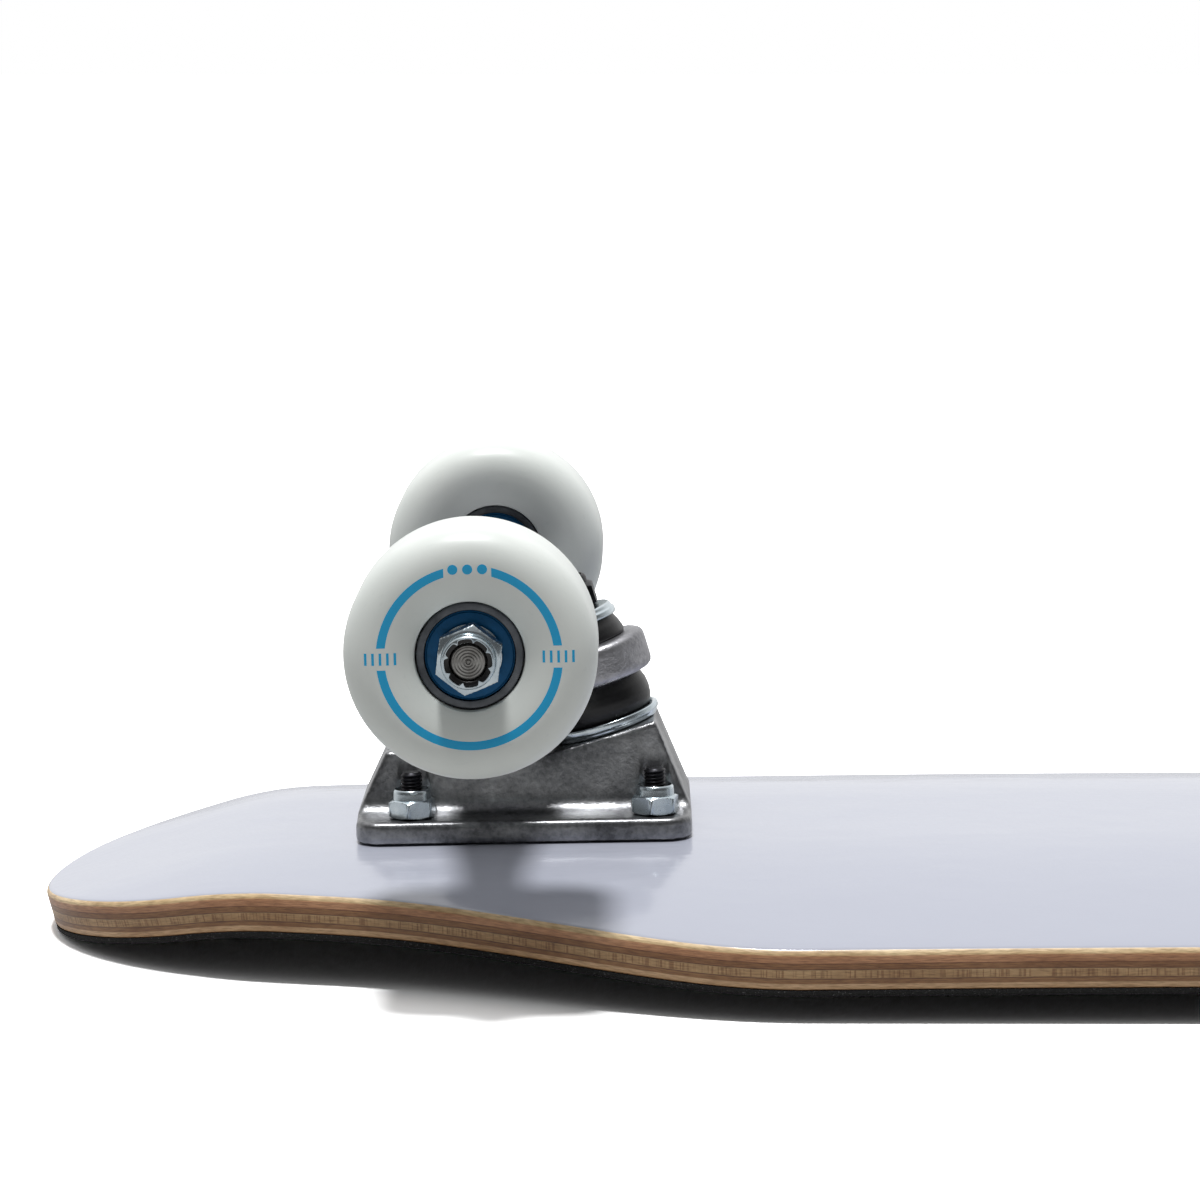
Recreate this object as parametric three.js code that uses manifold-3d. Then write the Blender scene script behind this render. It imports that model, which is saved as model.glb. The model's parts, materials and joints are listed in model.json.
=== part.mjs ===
// A small cruiser skateboard lying upside down: grip side down, wheels up.
// Millimetres, +Z up, +X towards the tail, -Y is the left side. The finished group stands on z = 0.

import * as THREE from 'three';
import { mergeVertices } from 'three/addons/utils/BufferGeometryUtils.js';
import Module from 'manifold-3d';

const wasm = await Module();
wasm.setup();

// ---- Driving dimensions ----------------------------------------------------------------------

const FIT_GAP = 0.3;                 // between pieces that touch

// Deck, measured along its surface
const DECK_WIDTH = 190.5;
const DECK_THICKNESS = 8.6;
const GRIP_THICKNESS = 0.8;
const INNER_BOLT_SPACING = 355.6;    // between the two trucks' inner bolts
const NOSE_LENGTH = 87;                // from the outer bolts to the tip
const TAIL_LENGTH = 126;
const NOSE_WAIST = 125;              // deck width where it narrows beside the wheels
const TAIL_WAIST = 140;
const NOSE_ROUNDING = 72;            // length of the rounded end
const TAIL_ROUNDING = 92;
const TIP_WIDTH = 20;                // width of the blunt end of each tip
const SHOULDER_START = 30;           // the widening runs from this far outside the outer bolts
const SHOULDER_LENGTH = 115;
const FLAT_HALF_WIDTH = 20;          // the middle strip is flat, the concave starts here
const CONCAVE = 0.00165;             // rail drop = CONCAVE * (distance from the flat strip)^2
const ROCKER_RADIUS = 10650;
const KICK_START = 27;               // beyond the outer bolts
const NOSE_KICK = THREE.MathUtils.degToRad(15.5);
const NOSE_BEND_RADIUS = 90;
const TAIL_BEND_RADIUS = 150;
const BELLY_ARRIS = 1.5;
const GRIP_ARRIS = 1;

// Deck bolts and lock nuts
const BOLT_SPACING_LONG = 53.98;
const BOLT_SPACING_WIDE = 41.28;
const BOLT_SHIFT = 2.2;              // the pattern sits nearer the plate's kingpin end
const BOLT_RADIUS = 2.4;
const BOLT_HEAD_RADIUS = 4.7;
const BOLT_HEAD_RIM = 0.4;
const BOLT_END_ABOVE_NUT = 3.5;
const BOLT_HOLE_GAP = 0.4;
const DECK_NUT_FLATS = 9.53;
const DECK_NUT_HEX = 4.2;
const DECK_NUT_COLLAR = 2.2;

// Baseplate
const PLATE_LENGTH = 74.6;
const PLATE_WIDTH = 56;
const PLATE_THICKNESS = 4.8;
const PLATE_CORNER = 6;
const BOSS_HALF_WIDTH = 15;
const BOSS_TOP_HALF_WIDTH = 13.4;
const BOSS_FOOT = 3;                 // the fillet at the foot of the boss
const ARM_SLOT_WIDTH = 21;
const NUT_RELIEF_GAP = 1;            // room round each deck nut

// Kingpin stack. Heights run along the kingpin from the middle of the hanger's ring.
const RING_CENTRE = { x: 13.6, z: 35.8 };
const KINGPIN_LEAN = THREE.MathUtils.degToRad(16);
const KINGPIN_RADIUS = 4.76;
const KINGPIN_HEAD_RADIUS = 7.9;
const KINGPIN_HEAD_HEIGHT = 5.5;
const KINGPIN_END_ABOVE_NUT = 1.6;
const KINGPIN_NUT_FLATS = 14.29;
const KINGPIN_NUT_HEX = 5.6;
const KINGPIN_NUT_COLLAR = 2;
const RING_RADIUS = 15;
const RING_HALF_HEIGHT = 4.4;
const LOWER_BUSHING_HEIGHT = 8.6;
const LOWER_BUSHING_RADIUS = 11.8;
const UPPER_BUSHING_HEIGHT = 5.4;
const UPPER_BUSHING_RADIUS = 9;
const UPPER_BUSHING_FOOT_RADIUS = 11;
const WASHER_THICKNESS = 1.5;
const WASHER_LIP = 1.2;              // the cup washer's rim, both its wall and how far it reaches
const BUSHING_BULGE = 0.9;

// Pivot
const PIVOT_ANGLE = THREE.MathUtils.degToRad(33);
const PIVOT_MOUTH = 46.5;            // from the ring's middle to the mouth of the cup, along the pivot axis
const PIVOT_BOSS_RADIUS = 9.8;
const CUP_WALL = 1.5;
const CUP_DEPTH = 6;
const NUB_RADIUS = 4.5;
const NUB_LENGTH = 4.2;              // inside the cup
const HANGER_SWING = THREE.MathUtils.degToRad(12);

// Hanger and axle
const AXLE = { x: -8.1, z: 52.5 };
const AXLE_RADIUS = 3.97;
const AXLE_END_ABOVE_NUT = -1.2;     // the end stops inside the nut's collar
const BEAM_END_LENGTH = 8;           // the plain part at each end of the beam
const ARM_ROOT = 2;                  // how far the arms start behind the axle
const ARM_EDGE = 3;                  // the arms' thickness at their outer corners
const ARM_LAP = 4;                   // how far the arms stop short of the ring's middle
const NECK_RADIUS = 6;               // the pivot arm's round neck above the nub
const NECK_WAIST_RADIUS = 6.4;
const NECK_LENGTH = 13.8;
const SWING_ROOM = 2.5;              // round the washers and the nut, for the full swing
const HANGER_WIDTH = 136;
const BEAM_END_RADIUS = 7.2;
const BEAM_MIDDLE_RADIUS = 10.2;
const ARM_HALF_WIDTH = 44;
const ARM_THICKNESS = 9;
const PIVOT_ARM_THICKNESS = 16;

// Wheels and bearings
const WHEEL_DIAMETER = 52;
const WHEEL_WIDTH = 30;
const TREAD_WIDTH = 17;
const WHEEL_FACE_RADIUS = 19;
const WHEEL_DISH = 1.8;              // how far the face sinks towards the bearing
const SEAT_SHOULDER = 3;             // the step between the two bearing seats
const BEARING_DIAMETER = 22;
const BEARING_WIDTH = 7;
const SPACER_LENGTH = 10;
const SPACER_WALL = 1.3;
const SPEED_WASHER = 1;
const AXLE_NUT_FLATS = 12.7;
const AXLE_NUT_HEX = 5.6;
const AXLE_NUT_COLLAR = 2.9;

// Lock nuts: the round collar against the width over the flats, and its crimped end against the collar
const COLLAR_SHARE = 0.46;
const CRIMP_SHARE = 0.89;

// Facets round a turned piece
const FINE = 24;
const MEDIUM = 12;
const SMALL = 8;

// Joined shapes run this far into each other, and cutting tools this far past a face or right through
const OVERLAP = 1;
const THROUGH = 30;

// ---- Derived places --------------------------------------------------------------------------

const OUTER_BOLT = INNER_BOLT_SPACING / 2 + BOLT_SPACING_LONG;
const TRUCK_STATION = INNER_BOLT_SPACING / 2 + BOLT_SPACING_LONG / 2 + BOLT_SHIFT;
const PLATE_TOP = FIT_GAP + PLATE_THICKNESS;
const GRIP_FACE = -(DECK_THICKNESS + FIT_GAP + GRIP_THICKNESS);

const LOWER_BUSHING_TOP = -(RING_HALF_HEIGHT + FIT_GAP);
const LOWER_WASHER_TOP = LOWER_BUSHING_TOP - LOWER_BUSHING_HEIGHT - FIT_GAP;
const KINGPIN_SEAT = LOWER_WASHER_TOP - WASHER_THICKNESS - FIT_GAP;
const UPPER_BUSHING_FOOT = RING_HALF_HEIGHT + FIT_GAP;
const UPPER_WASHER_FOOT = UPPER_BUSHING_FOOT + UPPER_BUSHING_HEIGHT + FIT_GAP;
const KINGPIN_NUT_FOOT = UPPER_WASHER_FOOT + WASHER_THICKNESS + FIT_GAP;
const KINGPIN_NUT_TOP = KINGPIN_NUT_FOOT + KINGPIN_NUT_HEX + KINGPIN_NUT_COLLAR;
const KINGPIN_BORE = KINGPIN_RADIUS + FIT_GAP;
const LOWER_WASHER_RADIUS = LOWER_BUSHING_RADIUS + BUSHING_BULGE / 2 + WASHER_LIP;
const UPPER_WASHER_RADIUS = UPPER_BUSHING_RADIUS + FIT_GAP + WASHER_LIP;
const NUT_CORNER = 1 / Math.cos(Math.PI / 6);

// The kingpin's head is as low as it fits inside the baseplate.
const KINGPIN_HEAD_FOOT = (FIT_GAP + 1 - RING_CENTRE.z + KINGPIN_HEAD_RADIUS * Math.sin(KINGPIN_LEAN))
  / Math.cos(KINGPIN_LEAN);
const KINGPIN_HEAD_TOP = KINGPIN_HEAD_FOOT + KINGPIN_HEAD_HEIGHT;

const AXLE_BORE = AXLE_RADIUS + FIT_GAP;
const BEARING_RADIUS = BEARING_DIAMETER / 2;
const INNER_BEARING = HANGER_WIDTH / 2 + SPEED_WASHER + BEARING_WIDTH / 2;
const OUTER_BEARING = INNER_BEARING + BEARING_WIDTH + SPACER_LENGTH;
const WHEEL_MIDDLE = (INNER_BEARING + OUTER_BEARING) / 2;
const AXLE_NUT_FOOT = OUTER_BEARING + BEARING_WIDTH / 2 + SPEED_WASHER + FIT_GAP;
const AXLE_NUT_TOP = AXLE_NUT_FOOT + AXLE_NUT_HEX + AXLE_NUT_COLLAR;

// ---- Materials -------------------------------------------------------------------------------

const finish = (color, roughness, metalness) => (
  new THREE.MeshStandardMaterial({ color, roughness, metalness }));
const materials = {
  maple: finish(0xcfd0da, 0.25, 0),
  grip: finish(0x151515, 0.95, 0),
  castAluminium: finish(0x8f9296, 0.45, 0.9),
  zinc: finish(0xbfc8cc, 0.25, 1),
  blackSteel: finish(0x1a1a1c, 0.45, 0.8),
  steel: finish(0x8b8c8e, 0.35, 1),
  urethane: finish(0x111112, 0.4, 0),
  wheel: finish(0xdadeda, 0.45, 0),
  bearing: finish(0x0b4e78, 0.4, 0.2),
};

// ---- Solids ----------------------------------------------------------------------------------

function toSolid(geometry) {
  const plain = geometry.clone();
  plain.deleteAttribute('normal');
  plain.deleteAttribute('uv');
  const merged = mergeVertices(plain, 1e-4);
  return new wasm.Manifold(new wasm.Mesh({
    numProp: 3,
    vertProperties: new Float32Array(merged.attributes.position.array),
    triVerts: new Uint32Array(merged.index.array),
  }));
}

function toGeometry(solid) {
  const mesh = solid.getMesh();
  const geometry = new THREE.BufferGeometry();
  geometry.setAttribute('position', new THREE.BufferAttribute(new Float32Array(mesh.vertProperties), 3));
  geometry.setIndex(new THREE.BufferAttribute(new Uint32Array(mesh.triVerts), 1));
  return geometry;
}

function join(...geometries) {
  return toGeometry(geometries.map(toSolid).reduce((whole, next) => whole.add(next)));
}

function cut(geometry, ...tools) {
  return toGeometry(tools.map(toSolid).reduce((rest, tool) => rest.subtract(tool), toSolid(geometry)));
}

function common(first, second) {
  return toGeometry(toSolid(first).intersect(toSolid(second)));
}

// A turned piece about Y. Each profile point is [radius, height]; the outside runs upwards.
function turned(profile, segments) {
  const points = profile.map(([radius, height]) => new THREE.Vector2(radius, height));
  return new THREE.LatheGeometry(points, segments);
}

function rod(radius, bottom, top, segments) {
  return turned([[0, bottom], [radius, bottom], [radius, top], [0, top]], segments);
}

function tube(inner, outer, bottom, top, segments) {
  return turned([[inner, bottom], [outer, bottom], [outer, top], [inner, top], [inner, bottom]], segments);
}

// A prism: the outline's x and y lie along two given directions, the thickness is centred.
function prism(outline, thickness, xDirection, yDirection) {
  const shape = new THREE.Shape(outline.map(([x, y]) => new THREE.Vector2(x, y)));
  const geometry = new THREE.ExtrudeGeometry(shape, { depth: thickness, bevelEnabled: false });
  geometry.translate(0, 0, -thickness / 2);
  const normal = new THREE.Vector3().crossVectors(xDirection, yDirection);
  return geometry.applyMatrix4(new THREE.Matrix4().makeBasis(xDirection, yDirection, normal));
}

// A lock nut about Y: a hexagon, its round collar and a clear bore.
function lockNut(flats, hexHeight, collarHeight, bore, foot) {
  const corner = flats / 2 * NUT_CORNER;
  const hexagon = new THREE.CylinderGeometry(corner, corner, hexHeight, 6);
  hexagon.translate(0, foot + hexHeight / 2, 0);
  const top = foot + hexHeight + collarHeight;
  const radius = flats * COLLAR_SHARE;
  const collar = turned([[0, foot + OVERLAP], [radius, foot + OVERLAP], [radius, top - collarHeight / 3],
    [radius * CRIMP_SHARE, top], [0, top]], SMALL);
  const clearBore = bore / Math.cos(Math.PI / SMALL);
  return cut(join(hexagon, collar), rod(clearBore, foot - OVERLAP, top + OVERLAP, SMALL));
}

// Turns a piece made about Y so that it stands about Z.
const upright = (geometry) => geometry.rotateX(Math.PI / 2);

// Places a piece made about Y on the kingpin, measured from the ring's middle.
function onKingpin(geometry) {
  return upright(geometry).rotateY(-KINGPIN_LEAN).translate(RING_CENTRE.x, 0, RING_CENTRE.z);
}

// Places a piece made about Y on the pivot axis, which runs from the ring's middle down to the cup.
function onPivot(geometry) {
  return upright(geometry).rotateY(-Math.PI / 2 - PIVOT_ANGLE).translate(RING_CENTRE.x, 0, RING_CENTRE.z);
}

// Side-view points beside those two axes: a distance along the axis and one across it.
function kingpinPoint(height, across) {
  const [sine, cosine] = [Math.sin(KINGPIN_LEAN), Math.cos(KINGPIN_LEAN)];
  return [RING_CENTRE.x - height * sine + across * cosine,
    RING_CENTRE.z + height * cosine + across * sine];
}

function pivotPoint(distance, across) {
  const [sine, cosine] = [Math.sin(PIVOT_ANGLE), Math.cos(PIVOT_ANGLE)];
  return [RING_CENTRE.x - distance * cosine - across * sine,
    RING_CENTRE.z - distance * sine + across * cosine];
}

const alongX = new THREE.Vector3(1, 0, 0);
const alongY = new THREE.Vector3(0, 1, 0);
const alongZ = new THREE.Vector3(0, 0, 1);

// ---- Deck shape ------------------------------------------------------------------------------

const nose = {
  tip: OUTER_BOLT + NOSE_LENGTH, waist: NOSE_WAIST, rounding: NOSE_ROUNDING,
  kick: NOSE_KICK, bendRadius: NOSE_BEND_RADIUS,
};
const tail = {
  tip: OUTER_BOLT + TAIL_LENGTH, waist: TAIL_WAIST, rounding: TAIL_ROUNDING,
  kick: 0, bendRadius: TAIL_BEND_RADIUS,
};

// The belly's middle line at a distance from the board's middle: a rocker arc, a bend, a straight kick.
function spineOf(end, distance) {
  const flat = OUTER_BOLT + KICK_START;
  const rocker = Math.min(distance, flat) / ROCKER_RADIUS;
  let x = ROCKER_RADIUS * Math.sin(rocker);
  let z = -ROCKER_RADIUS * (1 - Math.cos(rocker));
  const bend = THREE.MathUtils.clamp((distance - flat) / end.bendRadius, 0, Math.max(end.kick - rocker, 0));
  const slope = rocker + bend;
  x += end.bendRadius * (Math.sin(slope) - Math.sin(rocker));
  z -= end.bendRadius * (Math.cos(rocker) - Math.cos(slope));
  const straight = Math.max(distance - flat - bend * end.bendRadius, 0);
  return { x: x + straight * Math.cos(slope), z: z - straight * Math.sin(slope), slope };
}

// The tail's kick is the angle that puts both tips on the ground together.
function groundHeight(end) {
  const { z, slope } = spineOf(end, end.tip);
  return z + GRIP_FACE * Math.cos(slope);
}

function levelKick() {
  let [low, high] = [0, Math.PI / 4];
  for (let step = 0; step < 50; step += 1) {
    const kick = (low + high) / 2;
    if (groundHeight({ ...tail, kick }) > groundHeight(nose)) low = kick;
    else high = kick;
  }
  return low;
}
tail.kick = levelKick();

// A station is a signed distance along the board from its middle: negative towards the nose.
const endAt = (station) => (station < 0 ? nose : tail);

function spine(station) {
  const side = Math.sign(station);
  const { x, z, slope } = spineOf(endAt(station), Math.abs(station));
  return { x: side * x, z, slope: side * slope };
}

function halfWidth(station) {
  const end = endAt(station);
  const distance = Math.abs(station);
  const shoulder = THREE.MathUtils.smoothstep(OUTER_BOLT + SHOULDER_START - distance, 0, SHOULDER_LENGTH);
  const side = THREE.MathUtils.lerp(end.waist, DECK_WIDTH, shoulder) / 2;
  const intoRounding = Math.max(distance - end.tip + end.rounding, 0) / end.rounding;
  return side * Math.sqrt(Math.max(1 - intoRounding ** 2, 0));
}

const concave = (y) => CONCAVE * Math.max(Math.abs(y) - FLAT_HALF_WIDTH, 0) ** 2;

function deckPoint(station, y, height) {
  const { x, z, slope } = spine(station);
  const lift = height - concave(y);
  return new THREE.Vector3(x + lift * Math.sin(slope), y, z + lift * Math.cos(slope));
}

// Stations crowd together along the rounded ends, where the outline turns fastest.
function stations() {
  const list = [];
  const roundSteps = 8;
  const middleSteps = 20;
  const round = (end) => {
    const blunt = Math.acos(TIP_WIDTH / end.waist);
    return Array.from({ length: roundSteps }, (_, step) => (
      end.tip - end.rounding + end.rounding * Math.sin(blunt * (1 - step / roundSteps))));
  };
  const [first, last] = [-(nose.tip - nose.rounding), tail.tip - tail.rounding];
  round(nose).forEach((distance) => list.push(-distance));
  for (let step = 0; step <= middleSteps; step += 1) list.push(first + (last - first) * step / middleSteps);
  round(tail).reverse().forEach((distance) => list.push(distance));
  return list;
}

// Places across the deck from rail to rail; the flat strip is one step.
function acrossDeck(limit) {
  const steps = 4;
  const flat = Math.min(FLAT_HALF_WIDTH, limit / 2);
  const side = Array.from({ length: steps + 1 }, (_, step) => flat + (limit - flat) * step / steps);
  return [...side.map((y) => -y).reverse(), ...side];
}

// A layer of the deck between two heights, with its edges rounded over.
function deckLayer(top, bottom, topArris, bottomArris, arcSteps) {
  const ringAt = (station) => {
    const half = halfWidth(station);
    const upper = half - topArris;
    const lower = half - bottomArris;
    const right = acrossDeck(upper).map((y) => [y, top]);
    for (let step = 1; step <= arcSteps; step += 1) {
      const turn = Math.PI / 2 * step / arcSteps;
      right.push([upper + topArris * Math.sin(turn), top - topArris * (1 - Math.cos(turn))]);
    }
    const left = acrossDeck(lower).reverse().map((y) => [y, bottom]);
    const outline = [...right, [half, bottom + bottomArris], ...left,
      [-half, bottom + bottomArris], [-half, top - topArris]];
    return outline.map(([y, height]) => deckPoint(station, y, height));
  };
  const rings = stations().map(ringAt);
  const count = rings[0].length;
  const faces = [];
  for (let ring = 0; ring < rings.length - 1; ring += 1) {
    for (let point = 0; point < count; point += 1) {
      const [a, b] = [ring * count + point, ring * count + (point + 1) % count];
      // The underside takes the other diagonal, so that two layers that touch bend alike.
      if (point < count / 2) faces.push(a, a + count, b, b, a + count, b + count);
      else faces.push(a, a + count, b + count, a, b + count, b);
    }
  }
  for (let point = 1; point < count - 1; point += 1) {
    const last = (rings.length - 1) * count;
    faces.push(0, point, point + 1, last, last + point + 1, last + point);
  }
  const geometry = new THREE.BufferGeometry().setFromPoints(rings.flat());
  geometry.setIndex(faces);
  return geometry;
}

// ---- Pieces of one truck, in its own frame: z = 0 on the belly, +X towards the board's middle --

const boltPlaces = [[-1, -1], [1, -1], [-1, 1], [1, 1]].map(([endwise, sideways]) => ({
  x: BOLT_SHIFT + endwise * BOLT_SPACING_LONG / 2,
  y: sideways * BOLT_SPACING_WIDE / 2,
  name: `${endwise < 0 ? 'outer' : 'inner'}_${sideways < 0 ? 'left' : 'right'}`,
}));

// The bolt's turned outline, and with a gap added, the countersunk hole that it passes through.
function boltOutline(gap, bottom, top) {
  const cone = BOLT_HEAD_RADIUS - BOLT_RADIUS;
  const rim = GRIP_FACE + BOLT_HEAD_RIM;
  return upright(turned([[0, bottom], [BOLT_HEAD_RADIUS + gap, bottom], [BOLT_HEAD_RADIUS + gap, rim],
    [BOLT_RADIUS + gap, rim + cone], [BOLT_RADIUS + gap, top], [0, top]], SMALL));
}

function boltHole({ x, y }) {
  return boltOutline(BOLT_HOLE_GAP, GRIP_FACE - OVERLAP, PLATE_TOP + THROUGH).translate(x, y, 0);
}

function baseplate() {
  const slabShape = new THREE.Shape();
  const [halfLong, halfWide] = [PLATE_LENGTH / 2, PLATE_WIDTH / 2];
  [[1, 1], [-1, 1], [-1, -1], [1, -1]].forEach(([sx, sy], corner) => {
    slabShape.absarc(sx * (halfLong - PLATE_CORNER), sy * (halfWide - PLATE_CORNER), PLATE_CORNER,
      corner * Math.PI / 2, (corner + 1) * Math.PI / 2);
  });
  const slab = new THREE.ExtrudeGeometry(slabShape, {
    depth: PLATE_THICKNESS, bevelEnabled: false, curveSegments: 4,
  });
  slab.translate(0, 0, FIT_GAP);

  // From the side: a slanted seat under the lower washer, walls, and the face round the pivot cup.
  const foot = PLATE_TOP - OVERLAP;
  const washer = LOWER_WASHER_RADIUS;
  const cupMiddle = pivotPoint(PIVOT_MOUTH, 0)[1];
  const belowCup = -(cupMiddle - PLATE_TOP - OVERLAP) / Math.cos(PIVOT_ANGLE);
  const sideView = prism([[-halfLong, foot], [halfLong, foot], [halfLong, PLATE_TOP],
    kingpinPoint(KINGPIN_SEAT, washer - WASHER_LIP), kingpinPoint(KINGPIN_SEAT, -washer),
    pivotPoint(PIVOT_MOUTH, PIVOT_BOSS_RADIUS), [-halfLong, PLATE_TOP]], PLATE_WIDTH, alongX, alongZ);

  // The room for the hanger's pivot arm, between the walls.
  const armSlot = prism([kingpinPoint(KINGPIN_SEAT, -washer),
    [BOLT_SPACING_LONG / -4, PLATE_TOP + BOSS_FOOT / 2], pivotPoint(PIVOT_MOUTH, belowCup),
    pivotPoint(PIVOT_MOUTH, PIVOT_BOSS_RADIUS + THROUGH), kingpinPoint(0, -washer)],
  ARM_SLOT_WIDTH, alongX, alongZ);

  // From the end: tapered walls with a sloping foot.
  const top = kingpinPoint(KINGPIN_SEAT, washer)[1];
  const flared = BOSS_HALF_WIDTH + BOSS_FOOT;
  const wall = [[flared, foot], [flared, PLATE_TOP], [BOSS_HALF_WIDTH + BOSS_FOOT / 5, PLATE_TOP + BOSS_FOOT],
    [BOSS_TOP_HALF_WIDTH, top]];
  const farWall = wall.map(([y, z]) => [-y, z]).reverse();
  const endView = prism([...wall, ...farWall], PLATE_LENGTH + 2 * OVERLAP, alongY, alongZ);

  const reliefRadius = DECK_NUT_FLATS / 2 * NUT_CORNER + NUT_RELIEF_GAP;
  const nutRelief = rod(reliefRadius, PLATE_TOP, PLATE_TOP + THROUGH, MEDIUM);
  const headBore = KINGPIN_HEAD_RADIUS + FIT_GAP;
  const cupBore = NUB_RADIUS + CUP_WALL + 2 * FIT_GAP;
  return cut(join(slab, common(sideView, endView)), armSlot,
    ...boltPlaces.map(boltHole),
    ...boltPlaces.map(({ x, y }) => upright(nutRelief.clone()).translate(x, y, 0)),
    onKingpin(rod(KINGPIN_BORE, KINGPIN_HEAD_FOOT - THROUGH, KINGPIN_SEAT + THROUGH, MEDIUM)),
    onKingpin(rod(headBore, KINGPIN_HEAD_FOOT - THROUGH, KINGPIN_HEAD_TOP + FIT_GAP, MEDIUM)),
    onPivot(rod(cupBore, PIVOT_MOUTH - FIT_GAP, PIVOT_MOUTH + OVERLAP, MEDIUM)),
    onPivot(pivotCupOutline(FIT_GAP)));
}

// The cup's outside tapers to its closed end; with a gap added it is the hole in the baseplate.
function pivotCupOutline(gap) {
  const radius = NUB_RADIUS + FIT_GAP + CUP_WALL + gap;
  const taper = 0.7;
  return turned([[0, PIVOT_MOUTH], [radius, PIVOT_MOUTH], [radius * taper, PIVOT_MOUTH + CUP_DEPTH + gap],
    [0, PIVOT_MOUTH + CUP_DEPTH + gap]], MEDIUM);
}

const nubProfile = (gap) => [[NUB_RADIUS + gap, PIVOT_MOUTH - 1],
  [(NUB_RADIUS + gap) * 0.72, PIVOT_MOUTH + NUB_LENGTH - 1], [0, PIVOT_MOUTH + NUB_LENGTH + gap]];

function pivotCup() {
  return onPivot(cut(pivotCupOutline(0), turned([[0, PIVOT_MOUTH - 1], ...nubProfile(FIT_GAP)], MEDIUM)));
}

function kingpin() {
  const end = KINGPIN_NUT_TOP + KINGPIN_END_ABOVE_NUT;
  return onKingpin(turned([[0, KINGPIN_HEAD_FOOT], [KINGPIN_HEAD_RADIUS, KINGPIN_HEAD_FOOT],
    [KINGPIN_HEAD_RADIUS, KINGPIN_HEAD_TOP], [KINGPIN_RADIUS, KINGPIN_HEAD_TOP],
    [KINGPIN_RADIUS, end - 1], [KINGPIN_RADIUS - 1, end], [0, end]], MEDIUM));
}

// A cup washer about the kingpin; its rim points the way that `facing` gives.
function cupWasher(radius, foot, facing) {
  const back = facing > 0 ? foot : foot + WASHER_THICKNESS;
  const face = back + facing * WASHER_THICKNESS;
  const rim = face + facing * WASHER_LIP;
  const profile = [[KINGPIN_BORE, back], [radius - 0.8, back], [radius, face], [radius, rim],
    [radius - WASHER_LIP, rim], [radius - WASHER_LIP, face], [KINGPIN_BORE, face], [KINGPIN_BORE, back]];
  return onKingpin(turned(facing > 0 ? profile : profile.reverse(), FINE));
}

function bushing(footRadius, bulge, topRadius, foot, height) {
  return onKingpin(turned([[KINGPIN_BORE, foot], [footRadius, foot], [footRadius, foot + height * 0.25],
    [bulge, foot + height * 0.55], [topRadius, foot + height * 0.8], [topRadius, foot + height],
    [KINGPIN_BORE, foot + height], [KINGPIN_BORE, foot]], MEDIUM));
}

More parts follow.
